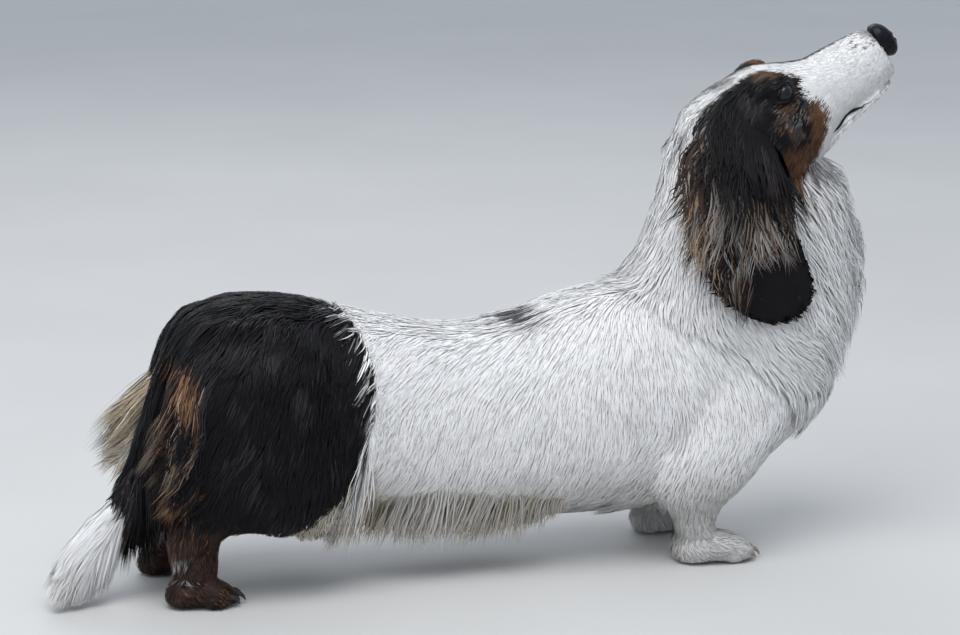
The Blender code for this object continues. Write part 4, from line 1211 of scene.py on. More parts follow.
BODY_GUIDES = Guides((
    (-250, 0, 215, -1, 0, -0.8, 34, 7), (-215, 0, 237, -1, 0, -0.15, 32, 6),
    (-150, 0, 233, -1, 0, 0, 28, 6), (-75, 0, 215, -1, 0, 0, 26, 6), (0, 0, 206, -1, 0, 0, 26, 6),
    (80, 0, 226, -1, 0, -0.1, 28, 6), (130, 0, 236, -1, 0, -0.3, 32, 6),
    (-75, 48, 190, -0.75, 0.3, -0.7, 26, 4.5), (10, 52, 190, -0.7, 0.3, -0.75, 26, 4.5),
    (80, 55, 205, -0.5, 0.3, -0.9, 28, 5), (118, 50, 213, -0.05, 0.2, -1, 28, 6),
    (-80, 60, 140, -0.35, 0, -1, 28, 4.5), (-10, 64, 130, -0.3, 0, -1, 28, 4.5),
    (60, 70, 140, -0.15, 0, -1, 28, 4.5), (110, 72, 160, 0.12, 0, -1, 28, 5),
    (-90, 52, 80, -0.6, -0.1, -1, 38, 8), (-10, 55, 70, -0.4, -0.1, -1, 34, 7),
    (70, 60, 70, -0.35, -0.1, -1, 32, 7),
    (-120, 22, 56, -0.35, 0, -1, 32, 6), (-60, 26, 48, -0.45, 0, -0.9, 30, 6),
    (-10, 26, 44, -0.55, 0, -0.8, 26, 6), (50, 20, 40, -0.9, 0, -0.5, 24, 8),
    (100, 20, 40, -1, 0, -0.4, 28, 10), (170, 20, 44, -1, 0, -0.3, 28, 10),
    (160, 68, 190, 0.35, 0, -1, 28, 5), (200, 66, 200, 0.6, 0, -0.8, 30, 6),
    (250, 58, 185, 0.8, 0, -0.6, 32, 8), (170, 72, 140, 0.1, 0, -1, 26, 5),
    (215, 68, 150, 0.2, 0, -1, 28, 6), (145, 72, 105, -0.5, 0, -0.9, 30, 6),
    (190, 68, 105, -0.45, 0, -1, 28, 5), (235, 60, 110, -0.5, 0, -0.8, 30, 6),
    (300, 20, 160, 0.3, 0.2, -1, 28, 5), (285, 30, 115, -0.1, 0.2, -1, 32, 6),
    (240, 20, 62, -0.9, 0, -0.5, 32, 7), (305, 0, 130, 0.1, 0, -1, 32, 7),
    (150, 0, 300, -0.45, 0, -1, 32, 6), (128, 0, 250, -0.6, 0, -1, 34, 7),
    (110, 0, 225, -1, 0, -0.5, 34, 7), (172, 0, 352, -0.4, 0, -1, 26, 5),
    (190, 44, 345, -0.2, 0.1, -1, 28, 4), (165, 48, 300, -0.25, 0, -1, 34, 5),
    (160, 55, 250, -0.1, 0, -1, 36, 6), (200, 60, 300, 0, 0, -1, 28, 3),
    (220, 62, 250, 0.2, 0, -1, 30, 3), (215, 64, 215, 0.5, 0, -0.8, 32, 5),
    (305, 0, 310, 0.6, 0, -0.8, 34, 14), (316, 0, 275, 0.85, 0, -0.6, 42, 26),
    (318, 0, 240, 0.85, 0, -0.6, 44, 26), (314, 0, 205, 0.7, 0, -0.75, 42, 20),
    (306, 0, 175, 0.3, 0, -1, 28, 6), (290, 35, 290, 0.5, 0.3, -0.8, 36, 12),
    (292, 38, 240, 0.6, 0.3, -0.8, 42, 15), (285, 42, 200, 0.65, 0.2, -0.75, 42, 15),
    (255, 52, 240, 0.45, 0.1, -0.9, 36, 8),
    (-262, 0, 180, -0.5, 0, -1, 40, 8), (-240, 40, 205, -0.7, 0.2, -0.9, 36, 7),
    (-190, 55, 215, -0.5, 0.3, -0.9, 30, 6), (-140, 55, 205, -0.35, 0.3, -1, 28, 5),
    (-170, 76, 160, -0.25, 0, -1, 30, 5), (-130, 72, 140, -0.2, 0, -1, 28, 5),
    (-230, 72, 160, -0.5, 0, -1, 36, 7), (-262, 50, 165, -0.7, 0, -1, 48, 14),
    (-264, 45, 130, -0.5, 0, -1, 52, 15), (-150, 75, 95, -0.3, 0, -1, 30, 5.5),
    (-200, 76, 100, -0.4, 0, -1, 34, 6), (-250, 60, 100, -0.5, 0, -1, 44, 11),
    (-185, 60, 60, -0.6, 0, -0.8, 32, 6),
    (-245, 68, 75, -0.35, 0, -1, 20, 4), (-268, 50, 70, -0.4, 0, -1, 32, 8),
    (-270, 50, 45, -0.3, 0, -1, 22, 5), (-250, 65, 40, -0.1, 0, -1, 9, 1.8),
    (-232, 50, 40, 0.2, 0, -1, 8, 1.6), (-250, 52, 24, 1, 0, -0.4, 6, 1.2),
    (-225, 52, 18, 1, 0, -0.4, 5, 1.0),
    (170, 78, 80, -0.3, 0, -1, 20, 4), (145, 55, 85, -0.6, 0, -1, 34, 9),
    (215, 60, 80, -0.1, 0, -1, 18, 4), (150, 50, 50, -0.4, 0, -1, 24, 6),
    (172, 68, 45, -0.1, 0, -1, 11, 2.4), (190, 50, 40, 0.1, 0, -1, 10, 2.2),
    (172, 30, 60, 0, 0, -1, 14, 3), (185, 52, 26, 1, 0, -0.3, 6, 1.2),
    (212, 52, 16, 1, 0, -0.5, 5, 1.0),
))

HEAD_GUIDES = Guides((
    (148, 0, 14, -1, 0, 0, 3, 0.5), (120, 0, 17, -1, 0, 0, 3.6, 0.6), (90, 0, 21, -1, 0, 0.2, 4.5, 0.8),
    (64, 0, 33, -1, 0, 0.3, 6, 1.1), (35, 0, 40, -1, 0.1, -0.1, 9, 1.4), (0, 0, 40, -1, 0, -0.35, 13, 2),
    (-25, 0, 30, -0.7, 0, -1, 18, 2.5), (145, 16, -10, -1, 0, -0.1, 3, 0.5),
    (120, 24, -12, -1, 0, -0.1, 3.6, 0.6), (145, 14, -32, -1, 0, -0.2, 3.5, 0.6),
    (115, 24, -34, -1, 0, -0.25, 4.5, 0.8), (92, 30, -10, -1, 0.1, -0.2, 5, 0.9),
    (95, 26, -35, -1, 0, -0.3, 6, 1.1), (82, 33, 10, -0.8, 0, 0.5, 3.5, 0.6),
    (68, 32, 22, -1, 0.2, 0.4, 4.5, 1.0), (54, 40, 12, -1, 0, 0, 6, 1.1),
    (66, 40, -2, -1, 0, -0.5, 5, 0.8), (60, 42, -14, -1, 0, -0.5, 8, 1.3),
    (65, 38, -35, -1, 0, -0.6, 7, 1.3), (35, 47, -15, -0.8, 0, -0.8, 10, 2),
    (40, 44, -45, -0.8, 0, -0.8, 8, 1.6), (15, 45, 0, -0.7, 0, -0.9, 18, 4),
    (32, 40, 22, -0.8, 0.2, -0.7, 15, 3),
    (10, 42, -45, -0.6, 0, -1, 15, 3), (25, 30, 34, -0.8, 0.35, -0.6, 16, 3),
    (-15, 35, 15, -0.8, 0.1, -0.8, 20, 4), (140, 0, -50, -1, 0, 0, 4, 0.8),
    (110, 0, -56, -1, 0, 0, 6, 1.1), (70, 0, -66, -1, 0, -0.2, 14, 3), (30, 0, -70, -1, 0, -0.4, 22, 5),
), place=HEAD, core=7.0)


@dataclass(frozen=True)
class Fur:
    """How the tufts of one stretch of the coat are cut and set."""

    density: float  # tufts for each square millimetre of skin
    width: float  # of a tuft, in millimetres
    rings: int = 3  # rings along a tuft before its tip
    lock: float = 13.0  # millimetres from lock to lock
    gather: float = 0.35  # how far a lock's tips draw together
    spread: float = 0.16  # how far hairs stray from the lie
    wave: float = 0.8  # sideways sway in millimetres
    cling: float = 1.0  # how closely hair follows the body under it
    droop: float = 0.0  # millimetres that a tip sags for each of length
    sink: float = 1.2  # how deep the root is set
    flatness: float = 0.22  # height of a tuft over its width
    softness: float = 0.7  # how far its shading follows the skin under it
    unevenness: float = 0.22  # spread of the lengths
    lift: float = 1.0  # times the guides' rise
    free: float = 0.0  # 0 follows the skin, 1 goes straight along the lie
    turns: float = 5.0  # radians of sway from root to tip


@dataclass
class Roots:
    """Where tufts grow: places, the skin's normals there, and what the guides say of them."""

    points: Array
    normals: Array
    lie: Array
    length: Array
    rise: Array

    def only(self, chosen: Array) -> "Roots":
        """The chosen roots."""
        return Roots(*(values[chosen] for values in vars(self).values()))


def scattered(surface: Surface, density: Array, draw: np.random.Generator) -> tuple[Array, Array]:
    """Places strewn over a surface, evenly for a given number to the square millimetre.

    Args:
        surface: points and faces.
        density: tufts for each square millimetre, one value for each face.
        draw: the source of chance.

    Returns:
        Places and unit normals, found by stepping evenly through the faces' summed shares.
    """
    points, faces = surface
    normals = corner_normals(surface)
    a, b, c = (points[faces[:, k]] for k in range(3))
    share = np.linalg.norm(np.cross(b - a, c - a), axis=1) / 2 * density
    total = int(share.sum())
    steps = (np.arange(total) + draw.uniform(0, 1, total)) * share.sum() / max(total, 1)
    face = faces[np.minimum(np.searchsorted(np.cumsum(share), steps), len(faces) - 1)]
    r, s = draw.uniform(0, 1, (2, total))
    r, s = np.where(r + s > 1, 1 - r, r), np.where(r + s > 1, 1 - s, s)
    weights = np.stack([1 - r - s, r, s], 1)[..., None]
    return (points[face] * weights).sum(1), unit((normals[face] * weights).sum(1))


def nearest_of(points: Array, centres: Array) -> Array:
    """The index of the nearest centre for each point, in chunks.

    Args:
        points: places (n, 3).
        centres: places (m, 3).

    Returns:
        One index for each point.
    """
    chunks = [
        ((chunk[:, None] - centres[None]) ** 2).sum(2).argmin(1)
        for chunk in np.array_split(points.astype(np.float32), max(1, len(points) // 3000))
    ]
    return np.concatenate(chunks)


@dataclass
class Tufts:
    """Tufts of hair: flat three-sided blades that taper, bend and gather into locks."""

    fur: Fur
    seed: int
    growing_floor: float = 2.2  # the lowest that a growing hair lies, in millimetres
    gathered_floor: float = 2.0  # and once the locks are gathered
    blade_floor: float = 0.8  # and the lowest corner of a blade

    def spines(self, roots: Roots, body: SurfaceField | None) -> Array:
        """The middle line of each tuft (n, rings + 1, 3).

        Each step follows the lie along the skin's tangent and keeps the hair's height above the
        skin, rise * sin of the share, as far as the fur clings. Locks draw their tips together.

        Args:
            roots: where the tufts grow.
            body: the field that says how high a place is above the skin.

        Returns:
            The spines' points.
        """
        draw = np.random.default_rng(self.seed)
        fur, count = self.fur, len(roots.points)
        low_noise = np.stack([waves(roots.points, 26, self.seed + k) for k in range(3)], 1)
        lie = unit(roots.lie) + fur.spread * (draw.normal(size=(count, 3)) * 0.8 + low_noise * 0.9)
        length = roots.length * (1 + fur.unevenness * draw.uniform(-1, 1, count))
        steps = np.linspace(0, 1, fur.rings + 1)
        place = roots.points - roots.normals * fur.sink
        spine, normal = [place], roots.normals
        for before, share in zip(steps[:-1], steps[1:]):
            flat = unit(lie - normal * (lie * normal).sum(1, keepdims=True) * (1 - fur.free))
            place = place + flat * (length * (share - before))[:, None]
            place[:, 2] -= fur.droop * length * (share**2 - before**2)
            arch = math.sin(min(1.0, share * 1.3) * math.pi / 2)
            target = fur.lift * roots.rise * arch * draw.uniform(0.55, 1.0, count)
            if body is not None:
                height, over = body.height(place)
                lack = target - height
                push = np.where(lack > 0, lack, lack * fur.cling)
                place = place + over * np.clip(push, -9, 9)[:, None]
                normal = unit(mix(normal, over, 0.6))
            else:
                place = place + roots.normals * (target / fur.rings)[:, None]
            place[:, 2] = np.maximum(place[:, 2], self.growing_floor)
            spine.append(place)
        spine = np.stack(spine, 1)
        side = unit(np.cross(roots.normals, lie))
        phase = 4 * waves(roots.points, fur.lock * 3, self.seed + 9) + draw.normal(0, 0.5, count)
        sway = np.sin(phase[:, None] + steps[None] * fur.turns) * steps * fur.wave
        return spine + sway[..., None] * side[:, None]

    def locks(self, roots: Roots) -> tuple[Array, Array]:
        """Which lock each tuft belongs to, and the tuft that leads it.

        Args:
            roots: where the tufts grow.

        Returns:
            Each tuft's lock, and each lock's leader.
        """
        draw = np.random.default_rng(self.seed + 1)
        area = len(roots.points) / self.fur.density
        count = int(np.clip(area / self.fur.lock**2, 1, len(roots.points)))
        leaders = draw.choice(len(roots.points), count, replace=False)
        own = nearest_of(roots.points, roots.points[leaders])
        return own, leaders

    def grow(self, roots: Roots, body: SurfaceField | None) -> tuple[Surface, Array, Array]:
        """The tufts' mesh.

        Args:
            roots: where the tufts grow.
            body: the skin's field, or None where hair hangs free.

        Returns:
            The surface, and for each tuft its lock's and its own random number.
        """
        fur, count = self.fur, len(roots.points)
        draw = np.random.default_rng(self.seed + 2)
        spine = self.spines(roots, body)
        own, leaders = self.locks(roots)
        steps = np.linspace(0, 1, fur.rings + 1)
        offset = (roots.points - roots.points[leaders[own]])[:, None] * (1 - 0.8 * steps[None, :, None])
        led = spine[leaders[own]] + offset
        spine = mix(spine, led, (fur.gather * steps**1.2)[None, :, None])
        spine[..., 2] = np.maximum(spine[..., 2], self.gathered_floor)
        ahead = unit(np.gradient(spine, axis=1))
        normal = roots.normals[:, None]
        across = unit(np.cross(normal, ahead))
        roll = draw.normal(0, 0.2, (count, 1, 1))
        up = unit(np.cross(ahead, across))
        across, up = across * np.cos(roll) + up * np.sin(roll), up * np.cos(roll) - across * np.sin(roll)
        taper = np.sin((0.35 + 0.65 * steps[:-1]) * math.pi) ** 0.7
        width = (fur.width * draw.uniform(0.7, 1.25, (count, 1)) * taper)[..., None]
        rings = [spine[:, :-1] + across[:, :-1] * width / 2,
                 spine[:, :-1] + up[:, :-1] * width * fur.flatness,
                 spine[:, :-1] - across[:, :-1] * width / 2]
        body_points = np.stack(rings, 2).reshape(count, -1, 3)
        points = np.concatenate([body_points, spine[:, -1:]], 1)
        points[..., 2] = np.maximum(points[..., 2], self.blade_floor)
        faces = self.blade_faces() + (np.arange(count) * points.shape[1])[:, None, None]
        lock = draw.uniform(0, 1, len(leaders))[own]
        return (points.reshape(-1, 3), faces.reshape(-1, 3)), lock, draw.uniform(0, 1, count)

    def blade_faces(self) -> Array:
        """Triangles of one tuft: a closed root, three-sided spans and a tip, facing outwards.

        Returns:
            The triangles of a tuft's own points.
        """
        rings = self.fur.rings
        faces = [(0, 1, 2)]
        for i in range(rings - 1):
            for j in range(3):
                a, b = 3 * i + j, 3 * i + (j + 1) % 3
                faces += [(a, a + 3, b), (b, a + 3, b + 3)]
        last = 3 * (rings - 1)
        faces += [(last + j, 3 * rings, last + (j + 1) % 3) for j in range(3)]
        return np.array(faces)

    def strand_map(self, count: int, draw: np.random.Generator) -> Array:
        """For each point (across plus a random shift, along): where it is on its own tuft.

        Args:
            count: how many tufts.
            draw: the source of chance.

        Returns:
            One (u, v) for each point.
        """
        rings = self.fur.rings
        across = np.tile([0.0, 0.5, 1.0], rings)
        share = np.repeat(np.arange(rings) / rings, 3)
        one = np.stack([np.append(across, 0.5), np.append(share, 1.0)], 1)
        shift = np.stack([draw.uniform(0, 40, count), np.zeros(count)], 1)
        return (one[None] + shift[:, None]).reshape(-1, 2)


class Graph:
    """A node tree that is being wired."""

    def __init__(self, tree: bpy.types.NodeTree) -> None:
        """Keeps the tree."""
        self.tree = tree

    def feed(self, node: Node, inputs: Inputs) -> Node:
        """Sets a node's inputs, or links those whose value is a socket.

        Args:
            node: the node.
            inputs: what each input gets, by its name or number.

        Returns:
            The same node.
        """
        for key, value in inputs.items():
            if isinstance(value, Socket):
                self.tree.links.new(value, node.inputs[key])
            else:
                node.inputs[key].default_value = value
        return node

    def add(self, kind: str, inputs: Inputs | None = None, **settings: object) -> Node:
        """A new node of a kind.

        Args:
            kind: the node's Blender type.
            inputs: what its inputs get.
            settings: the node's own properties, set before its inputs.

        Returns:
            The node.
        """
        node = self.tree.nodes.new(kind)
        for name, value in settings.items():
            setattr(node, name, value)
        return self.feed(node, inputs or {})

    def math(self, operation: str, first: object, second: object) -> Socket:
        """One sum on two numbers or sockets."""
        return self.add("ShaderNodeMath", {0: first, 1: second}, operation=operation).outputs[0]

    def between(self, value: Socket, low: float, high: float, to_low: object, to_high: float) -> Socket:
        """A value carried from the range low to high over to another one, and held at its ends."""
        ends = {"From Min": low, "From Max": high, "To Min": to_low, "To Max": to_high}
        return self.add("ShaderNodeMapRange", {"Value": value, **ends}).outputs["Result"]

    def blend(self, share: Socket, first: Socket, second: Socket) -> Socket:
        """Two colours mixed by a share."""
        return self.add("ShaderNodeMix", {0: share, 6: first, 7: second}, data_type="RGBA").outputs[2]

    def scaled(self, colour: object, factor: Socket) -> Socket:
        """A colour times a factor."""
        node = self.add("ShaderNodeVectorMath", {0: colour, "Scale": factor}, operation="SCALE")
        return node.outputs["Vector"]

    def noise(self, scale: float, detail: float, roughness: float = 0.5) -> Socket:
        """Noise over a piece, by its Object coordinates.

        Args:
            scale: cells to the metre.
            detail: octaves.
            roughness: each octave's weight over the last.

        Returns:
            The noise, 0 to 1.
        """
        place = self.add("ShaderNodeTexCoord").outputs["Object"]
        inputs = {"Vector": place, "Scale": scale, "Detail": detail, "Roughness": roughness}
        return self.add("ShaderNodeTexNoise", inputs).outputs["Fac"]

    def tint(self) -> Socket:
        """A piece's painted colour: its Tint attribute."""
        return self.add("ShaderNodeAttribute", attribute_name="Tint").outputs["Color"]

    def bump(self, height: Socket, strength: float, distance: float) -> Socket:
        """The normal over a height, which is that many metres for each unit."""
        inputs = {"Height": height, "Strength": strength, "Distance": distance}
        return self.add("ShaderNodeBump", inputs).outputs["Normal"]


def new_group(name: str, inputs: Inputs) -> tuple[Graph, Node]:
    """A shader node group that gives a Colour, a Roughness and a Height, still unwired.

    Args:
        name: the group's name.
        inputs: the value of each named input: a tuple is a colour.

    Returns:
        The group's graph and its input node.
    """
    tree = bpy.data.node_groups.new(name, "ShaderNodeTree")
    for title, value in inputs.items():
        kind = "NodeSocketColor" if isinstance(value, tuple) else "NodeSocketFloat"
        tree.interface.new_socket(title, in_out="INPUT", socket_type=kind).default_value = value
    for title, kind in (("Colour", "Color"), ("Roughness", "Float"), ("Height", "Float")):
        tree.interface.new_socket(title, in_out="OUTPUT", socket_type="NodeSocket" + kind)
    graph = Graph(tree)
    return graph, graph.add("NodeGroupInput")


@cache
def strand_group() -> bpy.types.NodeTree:
    """Fine hairs along a tuft: noise stretched along the strand map tints and roughens it.

    The root is darkened as painted shade, the colour varies from hair to hair; the height is the hairs'.

    Returns:
        The node group.
    """
    graph, given = new_group("Strands", {"Tint": (1, 1, 1, 1), "Contrast": 0.3, "Root Shade": 0.7})
    place = graph.add("ShaderNodeUVMap", uv_map="Strand")
    apart = graph.add("ShaderNodeSeparateXYZ", {"Vector": place.outputs["UV"]})
    across = graph.math("MULTIPLY", apart.outputs["X"], 5.0)
    lengthwise = graph.math("MULTIPLY", apart.outputs["Y"], 1.3)
    at = graph.add("ShaderNodeCombineXYZ", {"X": across, "Y": lengthwise})
    stretched = {"Vector": at.outputs[0], "Scale": 1.0, "Detail": 2.0, "Roughness": 0.6}
    hairs = graph.add("ShaderNodeTexNoise", stretched, noise_dimensions="2D").outputs["Fac"]
    shade = graph.between(hairs, 0.3, 0.7, -1.0, 1.0)
    swing = graph.math("MULTIPLY", shade, given.outputs["Contrast"])
    # root: painted shade, darker towards the tuft's root deep in the coat
    root = graph.between(apart.outputs["Y"], 0.0, 0.45, given.outputs["Root Shade"], 1.0)
    value = graph.math("MULTIPLY", graph.math("ADD", swing, 1.0), root)
    light = graph.add("ShaderNodeRGBToBW", {"Color": given.outputs["Tint"]})
    graph.add("NodeGroupOutput", {
        "Colour": graph.scaled(given.outputs["Tint"], value), "Height": hairs,
        "Roughness": graph.between(light.outputs["Val"], 0.0, 0.4, 0.40, 0.62),
    })
    return graph.tree


@cache
def leather_group() -> bpy.types.NodeTree:
    """Pebbled bare skin: small rounded cells with finer noise between, by Object coordinates.

    Returns:
        The node group.
    """
    graph, given = new_group("Leather", {
        "Colour": (0.02, 0.02, 0.02, 1), "Worn": (0.1, 0.1, 0.1, 1), "Pebbles": 700.0, "Share": 0.4,
    })
    place = graph.add("ShaderNodeTexCoord").outputs["Object"]
    pebbles = {"Vector": place, "Scale": given.outputs["Pebbles"], "Randomness": 0.9}
    cells = graph.add("ShaderNodeTexVoronoi", pebbles, feature="SMOOTH_F1")
    noise = graph.noise(160.0, 4.0, 0.6)
    dome = graph.between(cells.outputs["Distance"], 0.0, 0.6, 1.0, 0.0)
    patchy = graph.between(noise, 0.45, 0.7, 0.0, 1.0)
    share = graph.math("MULTIPLY", patchy, given.outputs["Share"])
    graph.add("NodeGroupOutput", {
        "Colour": graph.blend(share, given.outputs["Colour"], given.outputs["Worn"]),
        "Roughness": graph.between(noise, 0.3, 0.7, 0.30, 0.48),
        "Height": graph.math("ADD", dome, graph.math("MULTIPLY", noise, 0.4)),
    })
    return graph.tree


@dataclass(frozen=True)
class Finish:
    """A finish, which becomes a material when a piece first asks for it."""

    name: str

    def wire(self, graph: Graph) -> Inputs:
        """What the finish gives its Principled shader."""
        raise NotImplementedError

    @cache
    def material(self) -> bpy.types.Material:
        """The material, with its shader fed by the finish.

        Returns:
            The same material for the same finish.
        """
        material = bpy.data.materials.new(self.name)
        material.use_nodes = True
        graph = Graph(material.node_tree)
        graph.feed(graph.tree.nodes["Principled BSDF"], self.wire(graph))
        return material


def glow(weight: float) -> Inputs:
    """The shader's inputs for light that passes a little way through pale hair or skin."""
    return {"Subsurface Weight": weight, "Subsurface Radius": (1.0, 0.95, 0.88), "Subsurface Scale": 0.002}


@dataclass(frozen=True)
class CoatFinish(Finish):
    """Hair: its colour is the Tint attribute, broken into fine strands."""

    contrast: float
    root_shade: float
    gloss: float  # the shader's specular level
    bump: float = 0.35
    glow: float = 0.0  # share of the light that passes through the hair

    def wire(self, graph: Graph) -> Inputs:
        """The strands' colour, roughness and bump.

        Args:
            graph: the material's graph.

        Returns:
            The shader's inputs.
        """
        strands = graph.add("ShaderNodeGroup", {
            "Tint": graph.tint(), "Contrast": self.contrast, "Root Shade": self.root_shade,
        }, node_tree=strand_group())
        return {
            "Base Color": strands.outputs["Colour"], "Roughness": strands.outputs["Roughness"],
            "Normal": graph.bump(strands.outputs["Height"], self.bump, 0.0004),
            "Specular IOR Level": self.gloss, **glow(self.glow),
        }


PALE_HAIR = CoatFinish("pale_hair", contrast=0.06, root_shade=0.98, gloss=0.15, glow=0.22)
DARK_HAIR = CoatFinish("dark_hair", contrast=0.5, root_shade=0.7, gloss=0.12)


@dataclass(frozen=True)
class SkinFinish(Finish):
    """Skin under the coat: the coat's colour, with the bump of very short fur."""

    name: str = "skin_short_fur"
    grain: float = 620.0

    def wire(self, graph: Graph) -> Inputs:
        """The tint under fine noise, which is its bump too.

        Args:
            graph: the material's graph.

        Returns:
            The shader's inputs.
        """
        fine = graph.noise(self.grain, 3.0, 0.7)
        return {
            "Base Color": graph.scaled(graph.tint(), graph.between(fine, 0.3, 0.7, 0.82, 1.08)),
            "Roughness": 0.7, "Normal": graph.bump(fine, 0.5, 0.0006), "Specular IOR Level": 0.15,
            **glow(0.22),
        }


@dataclass(frozen=True)
class LeatherFinish(Finish):
    """Bare black skin of nose, lids and lips."""

    colour: Colour = (0.0025, 0.0025, 0.0032)
    worn: Colour = (0.010, 0.010, 0.013)
    pebbles: float = 900.0
    share: float = 0.4
    bump: float = 0.5
    wet: float = 0.25

    def wire(self, graph: Graph) -> Inputs:
        """The leather's colour, roughness and bump under a thin wet coat.

        Args:
            graph: the material's graph.

        Returns:
            The shader's inputs.
        """
        leather = graph.add("ShaderNodeGroup", {
            "Colour": (*self.colour, 1), "Worn": (*self.worn, 1), "Pebbles": self.pebbles,
            "Share": self.share,
        }, node_tree=leather_group())
        return {
            "Base Color": leather.outputs["Colour"], "Roughness": leather.outputs["Roughness"],
            "Normal": graph.bump(leather.outputs["Height"], self.bump, 0.0005),
            "Coat Weight": self.wet, "Coat Roughness": 0.18, "Specular IOR Level": 0.1,
        }


NOSE_SKIN = LeatherFinish("nose_leather", share=0.35, bump=0.6, wet=0.15)
LID_SKIN = LeatherFinish("lid_skin", (0.005, 0.004, 0.004), (0.010, 0.008, 0.009), 1400.0, 0.4, 0.3, 0.0)
LIP_SKIN = LeatherFinish("lip_skin", (0.010, 0.009, 0.010), (0.030, 0.026, 0.028), 1400.0, 0.4, 0.3, 0.0)


@dataclass(frozen=True)
class TintedFinish(Finish):
    """A smooth piece whose colour is its Tint attribute, such as an eye or a claw."""

    roughness: float
    coat: float

    def wire(self, graph: Graph) -> Inputs:
        """The tint, faintly cloudy, under a clear coat.

        Args:
            graph: the material's graph.

        Returns:
            The shader's inputs.
        """
        shade = graph.between(graph.noise(900.0, 3.0), 0.3, 0.7, 0.8, 1.2)
        return {
            "Base Color": graph.scaled(graph.tint(), shade), "Roughness": self.roughness,
            "Specular IOR Level": 0.25, "Coat Weight": self.coat, "Coat Roughness": 0.03,
        }


@dataclass(frozen=True)
class FloorFinish(Finish):
    """A plain pale floor with the faintest cloudiness."""

    name: str = "studio_floor"
    colour: Colour = (0.52, 0.515, 0.50)

    def wire(self, graph: Graph) -> Inputs:
        """The floor's colour under broad noise."""
        shade = graph.between(graph.noise(3.0, 5.0), 0.3, 0.7, 0.97, 1.03)
        return {"Base Color": graph.scaled(self.colour, shade), "Roughness": 0.6}


def soften(obj: Object, normals: Array, share: float) -> None:
    """Turns each point's shading normal towards the skin's: mixed by the share, then made unit long.

    Args:
        obj: the object.
        normals: the skin's normal at each point.
        share: 0 keeps its own, 1 takes the skin's.
    """
    own = np.empty(len(obj.data.vertices) * 3, np.float32)
    obj.data.vertex_normals.foreach_get("vector", own)
    turned = unit(mix(own.reshape(-1, 3), normals, share))
    obj.data.normals_split_custom_set_from_vertices(turned)


def paint(obj: Object, colours: Array) -> None:
    """Writes one linear colour for each point into the Tint attribute.

    Args:
        obj: the object.
        colours: linear colours (n, 3).
    """
    layer = obj.data.color_attributes.new(name="Tint", type="FLOAT_COLOR", domain="POINT")
    rgba = np.concatenate([np.clip(colours, 0, 1), np.ones((len(colours), 1))], 1)
    layer.data.foreach_set("color", rgba.astype(np.float32).ravel())


def lay_map(obj: Object, name: str, places: Array, faces: Array) -> None:
    """Writes a UV map from one (u, v) for each point."""
    layer = obj.data.uv_layers.new(name=name)
    layer.data.foreach_set("uv", places[faces.ravel()].astype(np.float32).ravel())


def dressed(obj: Object, finish: Finish, slot: str, *nodes: str) -> None:
    """Completes a piece: its material, its body and the nodes that it stands for.

    Args:
        obj: the piece.
        finish: what it is made of.
        slot: not used.
        nodes: the CAD nodes that it stands for.
    """
    obj.data.materials.append(finish.material())
    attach(obj, "root")
    if nodes:
        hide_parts(*nodes)
    log.info("%-22s %7d triangles", obj.name, len(obj.data.polygons))


FLESH = (
    "torso", "neck", "head", "lower_jaw", "ear_left", "ear_right", "shoulder_left", "shoulder_right",
    "foreleg_left", "foreleg_right", "thigh_left", "thigh_right", "hind_leg_left", "hind_leg_right",
    "tail",
)


class Stretch(Enum):
    """The stretches of the coat."""

    FLANK = "flank"
    FRINGE = "fringe"
    BREECHES = "breeches"
    RUMP = "rump"
    NECK = "neck"
    CROWN = "crown"
    FACE = "face"
    FORELEG = "foreleg"
    HIND_LEG = "hind_leg"
    TAIL = "tail"
    FLAG = "flag"
    EAR = "ear"


